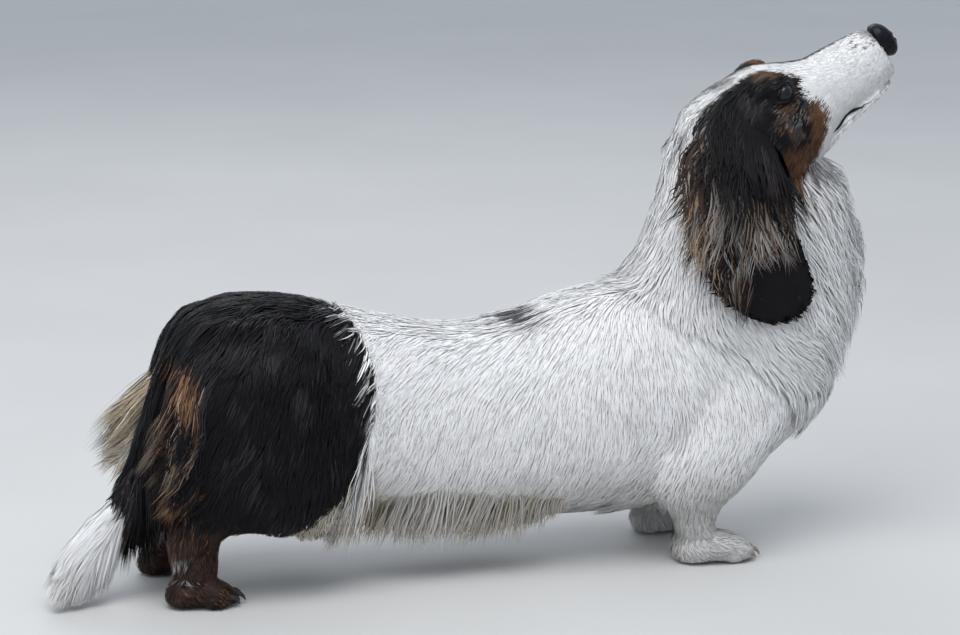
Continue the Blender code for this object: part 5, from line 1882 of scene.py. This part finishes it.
HEM = ((-220, -180, -155, -135, -121, -110, -104), (57, 59, 71, 86, 106, 132, 150))
DARK_STRETCHES = (Stretch.RUMP, Stretch.BREECHES, Stretch.EAR, Stretch.TAIL, Stretch.HIND_LEG)
FURS = {
    Stretch.FLANK: Fur(density=0.205, width=1.2, rings=2, spread=0.05, gather=0.20, wave=0.6, lift=0.42,
                       flatness=0.08, softness=0.95, unevenness=0.3),
    Stretch.FRINGE: Fur(density=0.17, width=1.1, rings=3, lock=9, gather=0.35, spread=0.16, wave=3.0,
                        cling=0.0, free=0.9, flatness=0.12, softness=0.85, unevenness=0.2),
    Stretch.RUMP: Fur(density=0.17, width=1.35, rings=3, lock=16, gather=0.38, spread=0.08, wave=1.6,
                      lift=0.7, cling=0.6, free=0.25, flatness=0.14),
    Stretch.BREECHES: Fur(density=0.32, width=1.2, rings=4, lock=10, gather=0.62, spread=0.12, wave=6.5,
                          cling=0.0, free=0.9, droop=0.12, flatness=0.16),
    Stretch.NECK: Fur(density=0.165, width=1.3, rings=3, lock=14, gather=0.3, spread=0.09, wave=1.4,
                      cling=0.4, free=0.3, flatness=0.09, softness=0.92, lift=1.1),
    Stretch.CROWN: Fur(density=0.38, width=1.0, rings=2, lock=9, gather=0.3, spread=0.08, wave=0.4, lift=0.8,
                       flatness=0.12, softness=0.85),
    Stretch.FACE: Fur(density=0.64, width=0.8, rings=2, lock=6, gather=0.15, spread=0.08, wave=0.1, sink=0.4,
                      lift=0.8, flatness=0.14, softness=0.85),
    Stretch.FORELEG: Fur(density=0.30, width=1.1, rings=2, lock=9, gather=0.35, spread=0.10, lift=0.8,
                         flatness=0.12, softness=0.85),
    Stretch.HIND_LEG: Fur(density=0.30, width=1.2, rings=2, lock=9, gather=0.35, spread=0.10, lift=0.8,
                          flatness=0.15),
    Stretch.TAIL: Fur(density=0.52, width=1.4, rings=4, lock=12, gather=0.45, spread=0.10, wave=3.0,
                      cling=0.0, free=1.0, droop=0.22, flatness=0.15, softness=0.8),
    Stretch.FLAG: Fur(density=0.84, width=1.4, rings=4, lock=10, gather=0.45, spread=0.07, wave=2.5,
                      cling=0.0, free=1.0, droop=0.28, flatness=0.10, softness=0.85),
    Stretch.EAR: Fur(density=0.155, width=1.5, rings=5, lock=10, gather=0.6, spread=0.10, wave=7.0, turns=6.0,
                     cling=0.0, sink=0.6, droop=0.18, flatness=0.13),
}


@dataclass
class Coat:
    """The whole coat, grown on the skin stretch by stretch."""

    skin: Skin
    markings: Markings
    patch: float = 0.003  # a tuft's patch on the OFBake map
    neck_line: tuple[float, ...] = (104, 256, 306, 98)
    head_line: tuple[float, ...] = (160, 358, 302, 324)
    seed: int = 100

    def above_line(self, points: Array, line: tuple[float, ...]) -> Array:
        """True above a line through two side-view points."""
        x1, z1, x2, z2 = line
        return points[:, 2] > z1 + (z2 - z1) * (points[:, 0] - x1) / (x2 - x1)

    def stretches(self, points: Array) -> dict[Stretch, Array]:
        """Which places belong to each stretch of the coat.

        Args:
            points: places (n, 3) in the body's drawing.

        Returns:
            For each stretch, one truth for each place.
        """
        x, y, z = points.T
        on_tail = self.tail_distance(points)[0] < 16
        on_tail &= (x < -254) & (y < 24) & (y > -52) & (z < 196)
        flag = self.markings.flag(points) > 0
        on_ear = self.skin.ears["left"].covers(points) | self.skin.ears["right"].covers(points)
        head = self.above_line(points, self.head_line) & ~on_ear
        u = HEAD.back(points)[:, 0]
        neck = self.above_line(points, self.neck_line) & ~head & ~on_ear
        foreleg = (z < 84) & (x > 112) & (x < 240) & (np.abs(y) > 18)
        hind = (z < 84) & (x < -206) & ~on_tail
        rest = ~(on_tail | on_ear | head | neck | foreleg | hind)
        middle = np.abs(x + 45)
        fringe = (z < 84 - 0.16 * middle) & (x > -160) & (x < 60)
        fringe |= (z < np.interp(x, *HEM) - 2) & (x > -168) & (x < -104)
        fringe &= rest & (np.abs(y) > 6)
        breeches = rest & (x < -238) & (z > 92) & (z < np.where(y > 0, 176, 204)) & (np.abs(y) > 12)
        rest &= ~(fringe | breeches)
        saddle = polygon_distance(points[:, [0, 2]], self.markings.rump.corners()) > -1.5
        return {
            Stretch.FRINGE: fringe, Stretch.BREECHES: breeches,
            Stretch.TAIL: on_tail & ~flag, Stretch.FLAG: on_tail & flag,
            Stretch.CROWN: head & (u < 47), Stretch.FACE: head & (u >= 47),
            Stretch.NECK: neck, Stretch.FORELEG: foreleg, Stretch.HIND_LEG: hind,
            Stretch.RUMP: rest & saddle, Stretch.FLANK: rest & ~saddle,
        }

    def tail_distance(self, points: Array) -> tuple[Array, Array, Array]:
        """Distance to the tail's middle line, the share of the way along it, and its direction.

        Args:
            points: places (n, 3) in the body's drawing.

        Returns:
            Distances, shares and directions.
        """
        rows = self.skin.tail.rows(40)
        line = np.stack([rows[:, 0] + rows[:, 2], 2 * rows[:, 4], rows[:, 1] + rows[:, 3]], 1) / 2
        near = nearest_of(points, line)
        way = unit(np.gradient(line, axis=0))[near]
        return np.linalg.norm(points - line[near], axis=1), near / 39, way

    def tail_roots(self, points: Array, normals: Array) -> Roots:
        """Roots of the tail: black hair hangs to a hem, and the white flag's follows the tail and droops.

        Args:
            points: places (n, 3) in the body's drawing.
            normals: the skin's normals there.

        Returns:
            The roots.
        """
        _, share, way = self.tail_distance(points)
        flag = ease(-3, 3, self.markings.flag(points))
        front = ease(-0.4, 0.6, normals[:, 0])
        under = ease(-0.4, 0.9, normals[:, 0] - 0.6 * normals[:, 2])
        hanging = unit(way * 0.6 + (0.06, 0, -0.7) + 0.15 * normals)
        aside = -0.1 + 0.22 * normals[:, 1]
        sweeping = unit(np.stack([mix(-0.86, -0.42, under), aside, mix(-0.50, -0.9, under)], 1))
        lie = unit(mix(hanging, sweeping, flag[:, None]))
        dark = np.clip((points[:, 2] - mix(76.0, 32.0, front)) / 1.05, 9, 60)
        pale = 54 - 24 * np.clip((share - 0.66) / 0.34, 0, 1)
        return Roots(points, normals, lie, mix(dark, pale, flag), 5 + 4 * flag)

    def combed(self, stretch: Stretch, points: Array, normals: Array) -> Roots:
        """How the hair of a stretch lies: by the guides, or by the long hair's own rules.

        Args:
            stretch: the stretch.
            points: places (n, 3) in the body's drawing.
            normals: the skin's normals there.

        Returns:
            The roots.
        """
        if stretch in (Stretch.TAIL, Stretch.FLAG):
            return self.tail_roots(points, normals)
        guides = HEAD_GUIDES if stretch in (Stretch.CROWN, Stretch.FACE) else BODY_GUIDES
        lie, length, rise = guides.comb(points)
        x, y, z = points.T
        left = 1.0 * (y > 0)
        if stretch is Stretch.BREECHES:
            swept = mix(mix(-0.22, -0.62, ease(190, 166, z)), -0.80, left)
            lie = np.stack([swept, 0.12 * np.sign(y), mix(-0.83, -0.62, left)], 1)
            length, rise = np.clip(z - 70.0, 22, mix(50, 60, left)), 0 * z + 8
        elif stretch is Stretch.FRINGE:
            lie = np.stack([0 * x - 0.34, 0.06 * np.sign(y), 0 * x - 1], 1)
            end = np.interp(x, (-168, -150, -130, -60, 0, 40, 60), (60, 53, 40, 31, 28, 36, 48))
            length, rise = np.clip((z - end - 5 * waves(points, 13, 77)) / 0.95, 8, 62), 0 * z + 3
        elif stretch is Stretch.RUMP:
            length = np.minimum(length, np.maximum(z - np.interp(x, *HEM), 0) + 9)
        elif stretch is Stretch.NECK:
            cheek = self.markings.cheek.inside(points, 0 * x)
            lie = unit(mix(lie, HEAD_GUIDES.comb(points)[0], cheek[:, None]))
            length, rise = mix(length, 11.0, cheek), mix(rise, 1.5, cheek)
        if stretch in (Stretch.RUMP, Stretch.FLANK):
            outside = -polygon_distance(points[:, [0, 2]], self.markings.rump.corners())
            length = np.where(outside > 0, np.minimum(length, 0.8 * outside + 3), length)
        return Roots(points, normals, lie, length, rise)

    def chart(self, stretch: Stretch, points: Array) -> Array:
        """Each root's place on an unwrap of its stretch: along its axis, and the angle around it.

        Args:
            stretch: the stretch.
            points: places (n, 3) in the body's drawing.

        Returns:
            One (u, v) for each place.
        """
        if stretch in (Stretch.CROWN, Stretch.FACE):
            flat, across = head_chart(points)
            u, v = (flat[:, 0] + 60) / 230, flat[:, 1] / (ARC_PER_RADIAN * math.pi) / 2
            v = np.where(across < 0, 1 - v, v)
        elif stretch in (Stretch.FLANK, Stretch.RUMP, Stretch.FRINGE, Stretch.BREECHES):
            u = (points[:, 0] + 300) / 640
            v = np.arctan2(points[:, 1], points[:, 2] - 135) / (2 * math.pi) + 0.5
        elif stretch in (Stretch.TAIL, Stretch.FLAG):
            u, v = self.tail_distance(points)[1], (points[:, 1] + 60) / 100
        else:
            x, y = {Stretch.NECK: (222, 0), Stretch.FORELEG: (180, 50), Stretch.HIND_LEG: (-250, 50),
                    Stretch.EAR: (212, 60)}[stretch]
            u = points[:, 2] / 400
            v = np.arctan2(np.abs(points[:, 1]) - y, points[:, 0] - x) / (2 * math.pi) + 0.5
        return np.clip(np.stack([u, v], 1), 0.002, 0.995)

    def piece(self, name: str, stretch: Stretch, roots: Roots, body: SurfaceField | None) -> None:
        """Grows one piece of the coat and dresses it.

        Args:
            name: the piece's name.
            stretch: which stretch it is part of.
            roots: where its tufts grow.
            body: the skin's field, or None for hair that hangs free.
        """
        self.seed += 10
        tufts = Tufts(FURS[stretch], self.seed)
        surface, lock, hair = tufts.grow(roots, body)
        surface = outward(*surface)
        if stretch in (Stretch.TAIL, Stretch.FLAG):
            colours = self.markings.tail(roots.points, lock, hair)
        elif stretch is Stretch.EAR:
            side = 1 if name.endswith("left") else -1
            colours = self.markings.ear(roots.points, side, lobe_share(roots.points), lock, hair)
        else:
            colours = self.markings.colours(roots.points, lock, hair)
        draw = np.random.default_rng(self.seed + 5)
        dark = stretch in DARK_STRETCHES
        # tone: random from lock to lock and hair to hair; its wider spread in the dark coat is partly painted
        # sheen
        tone = 1 + (0.50 if dark else 0.04) * (lock - 0.5) + (0.60 if dark else 0.06) * (hair - 0.5)
        per_tuft = surface[0].shape[0] // len(roots.points)
        obj = make_object(name, surface)
        soften(obj, np.repeat(roots.normals, per_tuft, axis=0), FURS[stretch].softness)
        paint(obj, np.repeat(colours * tone[:, None], per_tuft, axis=0))
        strand = tufts.strand_map(len(roots.points), draw)
        corner = np.repeat(self.chart(stretch, roots.points), per_tuft, axis=0)
        within = np.stack([np.mod(strand[:, 0], 1.0), strand[:, 1]], 1) * self.patch
        lay_map(obj, "OFBake", corner + within, surface[1])
        lay_map(obj, "Strand", strand, surface[1])
        dressed(obj, DARK_HAIR if dark else PALE_HAIR, "dark_coat" if dark else "white_coat")

    def build(self) -> None:
        """Strews the roots over the skin, sorts them into stretches and sides, and grows each."""
        draw = np.random.default_rng(7)
        points, faces = self.skin.surface
        body = SurfaceField(self.skin.body)
        centres = points[faces].mean(1)
        density = np.zeros(len(faces))
        for stretch, chosen in self.stretches(centres).items():
            density[chosen] = FURS[stretch].density
        density[centres[:, 2] < 3.0] = 0.0
        density *= ~FACE.bare(centres)
        places, normals = scattered(self.skin.surface, density, draw)
        for stretch, chosen in self.stretches(places).items():
            own, out = places[chosen], normals[chosen]
            roots = self.combed(stretch, own, out)
            if stretch in (Stretch.TAIL, Stretch.FLAG):
                self.piece(f"coat_{stretch.value}", stretch, roots, body)
                continue
            for word, side in SIDES.items():
                self.piece(f"coat_{stretch.value}_{word}", stretch, roots.only(own[:, 1] * side > 0), body)
        for word, side in SIDES.items():
            self.ear(word, side, body)

    def ear(self, word: str, side: int, body: SurfaceField) -> None:
        """The hair of one ear: long on its outer face and back edge, short on the lobe and inside.

        Args:
            word: left or right.
            side: 1 left, -1 right.
            body: the field of the skin without its ears.
        """
        flap = self.skin.ears[word].surface()
        fur = FURS[Stretch.EAR]
        inside = (corner_normals(flap)[flap[1]].mean(1)[:, 1] * side) < -0.3
        sleek = lobe_share(flap[0][flap[1]].mean(1))
        density = fur.density * np.where(inside, 0.5, 1.0) * (1 + 1.6 * sleek)
        points, normals = scattered(flap, density, np.random.default_rng(40 + side))
        free = body.height(points)[0] > -2.0
        points, normals = points[free], normals[free]
        x = points[:, 0] - (self.skin.ears[word].forward if side > 0 else 0)
        z = points[:, 2]
        lobe = lobe_share(points)
        inner = 1 - ease(-0.3, 0.4, normals[:, 1] * side)
        crest = ease(345, 362, z)
        behind = ease(196, 172, x) * ease(225, 285, z) * (1 - 0.6 * crest) * (0.25 if side > 0 else 1)
        ahead = ease(198, 218, x) * ease(292, 314, z) * (1 - crest) * (1 - 0.7 * ease(220, 236, x))
        sweep = -0.10 - 0.60 * behind + 0.55 * ahead - 0.30 * crest
        lie = np.stack([sweep, 0.10 * side * (ahead + behind), -np.ones(len(points))], 1)
        room = np.maximum(z - self.skin.ears[word].bottom(points[:, 0]), 3.0)
        length = np.minimum(mix(54.0, 5.5, np.maximum(lobe, inner)), np.maximum(room - 5.0, 4.5))
        length = np.minimum(length, np.maximum(z - mix(100.0, 256.0, ease(196, 214, x)), 9.0))
        if side > 0:
            length = np.where(x < 190, np.minimum(length, 26.0), length)
        rise = mix(5.5, 0.4, np.maximum(lobe, inner)) * ease(2, 40, length) + 0.4
        roots = Roots(points, normals, lie, length, rise)
        self.piece(f"coat_ear_{word}", Stretch.EAR, roots, None)


def lobe_share(points: Array) -> Array:
    """1 on the lower front of an ear flap, where the hair is short and sleek.

    Args:
        points: places (n, 3) in the body's drawing.

    Returns:
        One share for each place.
    """
    forward = points[:, 0] - np.where(points[:, 1] > 0, EarFlap.forward, 0.0)
    slant = points[:, 2] - 0.55 * (forward - 215)
    return ease(268, 246, slant) * ease(182, 204, forward)


@dataclass
class SkinPiece:
    """The skin as an object, in the same colours as the coat that grows on it."""

    skin: Skin
    coat: Coat

    def build(self) -> None:
        """Makes the object and paints it stretch by stretch."""
        points = self.skin.surface[0]
        half = np.full(len(points), 0.96)  # past every hue's extras: each hue's base colour
        colours = self.coat.markings.colours(points, half, half)
        belongs = self.coat.stretches(points)
        on_tail = belongs[Stretch.TAIL] | belongs[Stretch.FLAG]
        colours[on_tail] = self.coat.markings.tail(points[on_tail], half[on_tail], half[on_tail])
        for word, side in SIDES.items():
            flap = self.skin.ears[word].covers(points)
            own = points[flap]
            colours[flap] = self.coat.markings.ear(own, side, lobe_share(own), half[flap], half[flap])
        colours[FACE.bare(points)] = BLACK
        obj = make_object("skin", self.skin.surface)
        paint(obj, colours * 0.95)
        dressed(obj, SkinFinish(), "white_coat", *FLESH)


@dataclass
class Nose:
    """The nose leather: a rounded pad with comma nostrils and a groove down its middle."""

    pad: Loft = Loft((
        (148, 5, 148, -8, 0, 8), (151, 10.5, 151, -14, 0, 11.5), (155, 12, 156, -18.5, 0, 12.5),
        (160, 10, 161, -19, 0, 12), (164, 5, 164.5, -15.5, 0, 9.5), (166.5, -2, 166.8, -10, 0, 4),
    ), rings=60, sides=96, power=2.3)
    hole: Point = (163.6, 5.6, -4.6)  # the nostril's round front end
    slit: Point = (157.6, 12.0, -7.5)  # and where its slit runs out
    radius: tuple[float, float] = (2.9, 1.1)  # at the hole and at the slit's end
    depth: float = 4.2
    groove: float = 0.9

    def build(self) -> None:
        """Dents the pad: depth * exp(-(distance to the nostril's curve / radius)^2), and the groove."""
        points, faces = self.pad.surface()
        normals = corner_normals((points, faces))
        hole, slit = np.array(self.hole), np.array(self.slit)
        folded = points * np.where(points[:, 1:2] < 0, (1, -1, 1), (1, 1, 1))
        way = slit - hole
        share = np.clip((folded - hole) @ way / (way @ way), 0, 1)
        arched = hole + share[:, None] * way + np.array([0, 0, 1.6]) * (np.sin(share * math.pi))[:, None]
        away = np.linalg.norm(folded - arched, axis=1)
        radius = mix(self.radius[0], self.radius[1], share)
        dent = np.exp(-((away / radius) ** 2)) * self.depth * (1 - 0.65 * share)
        rim = np.exp(-(((away - radius * 1.7) / 1.1) ** 2)) * 0.5
        low = ease(1.0, -7.0, points[:, 2]) * ease(154, 160, points[:, 0])
        middle = np.exp(-((points[:, 1] / 0.8) ** 2)) * self.groove * low
        points = points + normals * (rim - dent - middle)[:, None]
        obj = make_object("nose_leather", (HEAD.out(points), faces))
        dressed(obj, NOSE_SKIN, "nose_leather", "nose")


@dataclass
class Eye:
    """One eye: a ball with a bulging cornea, a dark iris and a rim of black lid."""

    side: int
    radius: float = 9.6
    cornea: tuple[float, float] = (0.9, 0.52)  # height and angular width of the bulge
    iris: tuple[float, float] = (0.30, 0.62)  # radians to the pupil's and the iris' edge
    lid: float = 0.95  # radius of the lid's rim

    def build(self, word: str) -> None:
        """Builds the ball and the lid."""
        self.ball(word)
        self.rim(word)

    def ball(self, word: str) -> None:
        """Rings around the look axis: radius + cornea * exp(-(angle / width)^4).

        Args:
            word: left or right.
        """
        centre, out, lengthwise, upward = FACE.eye_axes(self.side)
        angle = np.linspace(0, math.pi, 66)[1:-1]
        height, width = self.cornea
        reach = self.radius + height * np.exp(-((angle / width) ** 4))
        middle = centre + (reach * np.cos(angle))[:, None] * out
        points, faces = tube(sweep(middle, reach * np.sin(angle), lengthwise[None], upward[None], 64))
        turn = np.arccos(np.clip(unit(points - centre) @ out, -1, 1))
        spoke = np.arctan2((points - centre) @ upward, (points - centre) @ lengthwise)
        streak = 0.75 + 0.25 * np.sin(spoke * 23 + 3 * np.sin(spoke * 5))
        pupil, edge = self.iris
        iris = np.array((0.007, 0.008, 0.015)) * streak[:, None]
        colours = mix(np.array((0.004, 0.004, 0.005)), iris, ease(pupil - 0.03, pupil + 0.06, turn)[:, None])
        colours = mix(colours, (0.010, 0.008, 0.008), ease(edge - 0.1, edge + 0.04, turn)[:, None])
        colours = mix(colours, (0.020, 0.015, 0.014), ease(edge + 0.26, edge + 0.4, turn)[:, None])
        obj = make_object(f"eyeball_{word}", (HEAD.out(points), faces))
        paint(obj, colours)
        dressed(obj, TintedFinish("eye_surface", 0.06, 0.15), "eye_surface", f"eye_{word}")

    def rim(self, word: str) -> None:
        """The lid: a thin tube on the almond edge, laid on the ball.

        Args:
            word: left or right.
        """
        centre, out, lengthwise, upward = FACE.eye_axes(self.side)
        turn = np.linspace(0, 2 * math.pi, 96, endpoint=False)
        length, height = FACE.opening
        a = length * np.cos(turn)
        b = height * (1 - 0.30 * np.cos(turn) ** 2) * np.sin(turn)
        c = np.sqrt(np.maximum(self.radius**2 - a * a - b * b, 0)) + 0.15
        middle = centre + a[:, None] * lengthwise + b[:, None] * upward + c[:, None] * out
        ahead = unit(np.roll(middle, -1, 0) - np.roll(middle, 1, 0))
        outer = unit(middle - centre)
        thick = self.lid * (1 + 0.25 * np.sin(turn))
        grid = sweep(middle, thick, outer * 0.8, np.cross(ahead, outer), 14)
        obj = make_object(f"eyelid_{word}", loop_tube(HEAD.out(grid.reshape(-1, 3)).reshape(grid.shape)))
        dressed(obj, LID_SKIN, "nose_leather")


@dataclass
class Lips:
    """The dark edge of the lips, which shows as a line along the mouth."""

    radius: float = 1.05

    def build(self, skin_field: SurfaceField) -> None:
        """A thin tube that follows the mouth line on the skin, from under the nose to the corner.

        Args:
            skin_field: the field of the whole skin.
        """
        line = np.array(FACE.mouth, float)
        for word, side in SIDES.items():
            count = 90
            knots = np.linspace(0, 1, len(line))
            flat = spline(knots, line, np.linspace(0.52, 0.97, count))
            guess = np.stack([flat[:, 0], side * np.interp(flat[:, 0], (80, 110, 150, 160), (31, 25, 15, 5)),
                              flat[:, 1]], 1)
            middle = skin_field.settled(HEAD.out(guess), 0.5)
            reach = np.clip(np.arange(count)[:, None] + np.arange(-8, 9)[None], 0, count - 1)
            middle = middle[reach].mean(1)
            ahead = unit(np.gradient(middle, axis=0))
            _, out = skin_field.height(middle)
            thick = self.radius * mix(0.25, 1.2, ease(119, 106, flat[:, 0]) * ease(81, 90, flat[:, 0]))
            grid = sweep(middle, thick, out, unit(np.cross(ahead, out)), 10)
            obj = make_object(f"lip_{word}", tube(grid))
            dressed(obj, LIP_SKIN, "nose_leather")


@dataclass
class Claws:
    """Sixteen claws: curved cones that leave the toes and turn down."""

    skin: Skin
    spine: Rows = (  # forward, up, radius
        (-2, 1.0, 2.3), (0, 0, 2.4), (3.5, 0, 2.3), (6.5, -0.6, 1.9), (9.5, -3.2, 1.1), (11, -6.2, 0.35),
    )
    height: float = 9.0
    reach: float = 8.0  # from a toe's middle to its claw's root
    narrow: float = 0.78  # a claw's width over its height
    fore: Colour = (0.42, 0.35, 0.28)
    hind: Colour = (0.035, 0.027, 0.023)

    def claw(self, root: Point) -> Surface:
        """One claw: rings of a narrow ellipse along the spine.

        Args:
            root: where the claw leaves its toe.

        Returns:
            The closed surface.
        """
        table = np.array(self.spine, float)
        rows = along(table, table[:, [0, 1, 1]] * (1, 1, 0), 14)
        ahead = unit(np.gradient(rows[:, :2], axis=0))
        level = 0 * rows[:, 0]
        middle = np.stack([rows[:, 0], level, rows[:, 1]], 1) + np.array(root)
        up = np.stack([-ahead[:, 1], level, ahead[:, 0]], 1)
        return tube(sweep(middle, rows[:, 2], up, np.array([[0, self.narrow, 0]]), 12))

    def build(self) -> None:
        """Builds the claws of each paw as one piece."""
        paws = {"fore": (self.skin.fore_toes, self.fore), "hind": (self.skin.hind_toes, self.hind)}
        for place, ((x, y, _), pale) in paws.items():
            for word, side in SIDES.items():
                surface = joined([self.claw((x - back + self.reach, side * (y + across), self.height))
                                  for across, back in TOES])
                obj = make_object(f"claws_{place}_{word}", surface)
                reach = surface[0][:, 0] - surface[0][:, 0].min()
                paint(obj, mix(np.array(pale), np.array(pale) * 0.6, ease(2, 12, reach)[:, None]))
                dressed(obj, TintedFinish("claw_horn", 0.35, 0.2), "nose_leather")


@dataclass
class Studio:
    """The floor, the lights and the camera."""

    azimuth: float = -18.0
    elevation: float = 12.0
    distance: float = 3.0
    target: Point = (0.003, 0.0, 0.206)
    lens: float = 138.4
    lamps: tuple[tuple[str, Point, float, float], ...] = (  # name, place, width, power
        ("key", (-0.6, -1.0, 2.5), 2.4, 62.0), ("fill", (-2.0, -1.6, 1.1), 1.8, 6.0),
        ("rim", (0.2, 1.9, 1.7), 1.6, 10.0),
    )
    sky: tuple[float, ...] = (0.80, 0.88, 1.0, 1)
    sky_strength: float = 0.74

    def build(self) -> None:
        """Builds all three."""
        self.floor()
        self.light()
        self.camera()

    def floor(self) -> None:
        """A wide flat grid at z = 0."""
        step = np.linspace(-14, 14, 29)
        x, y = np.meshgrid(step, step, indexing="ij")
        points = np.stack([x.ravel(), y.ravel(), 0 * x.ravel()], 1)
        i, j = np.meshgrid(np.arange(28), np.arange(28), indexing="ij")
        a = (i * 29 + j).ravel()
        faces = np.stack([a, a + 29, a + 30, a + 1], 1)
        mesh = bpy.data.meshes.new("floor")
        mesh.from_pydata(points, [], faces.tolist())
        obj = bpy.data.objects.new("floor", mesh)
        bpy.context.scene.collection.objects.link(obj)
        mesh.materials.append(FloorFinish().material())

    def placed(self, name: str, data: bpy.types.ID, place: Vector, way: Vector) -> Object:
        """A lamp or camera as an object of the scene.

        Args:
            name: its name.
            data: the lamp or camera.
            place: where it stands.
            way: where it looks.

        Returns:
            The object.
        """
        obj = bpy.data.objects.new(name, data)
        obj.location, obj.rotation_euler = place, way.to_track_quat("-Z", "Y").to_euler()
        bpy.context.scene.collection.objects.link(obj)
        return obj

    def light(self) -> None:
        """Soft lamps that face the dog, under a pale sky."""
        for name, place, width, power in self.lamps:
            lamp = bpy.data.lights.new(name, "AREA")
            lamp.shape, lamp.size, lamp.energy = "DISK", width, power
            self.placed(name, lamp, Vector(place), Vector(self.target) - Vector(place))
        bpy.context.scene.view_settings.view_transform = "Standard"
        world = bpy.data.worlds.new("pale_sky")
        world.use_nodes = True
        Graph(world.node_tree).feed(world.node_tree.nodes["Background"], {
            "Color": self.sky, "Strength": self.sky_strength,
        })
        bpy.context.scene.world = world

    def camera(self) -> None:
        """The camera, at the photograph's angle."""
        a, e = math.radians(self.azimuth), math.radians(self.elevation)
        away = Vector((math.sin(a) * math.cos(e), -math.cos(a) * math.cos(e), math.sin(e)))
        lens = bpy.data.cameras.new("camera")
        lens.lens, lens.sensor_width, lens.clip_end = self.lens, 36.0, 60.0
        place = Vector(self.target) + away * self.distance
        bpy.context.scene.camera = self.placed("camera", lens, place, -away)


def main() -> None:
    """Builds the dog and its studio, piece by piece."""
    logging.basicConfig(level=logging.INFO, format="%(message)s")
    skin = Skin()
    skin.build()
    coat = Coat(skin, Markings())
    SkinPiece(skin, coat).build()
    skin_field = SurfaceField(skin.surface)
    Nose().build()
    for word, side in SIDES.items():
        Eye(side).build(word)
    Lips().build(skin_field)
    Claws(skin).build()
    coat.build()
    Studio().build()


if __name__ == "__main__":
    main()
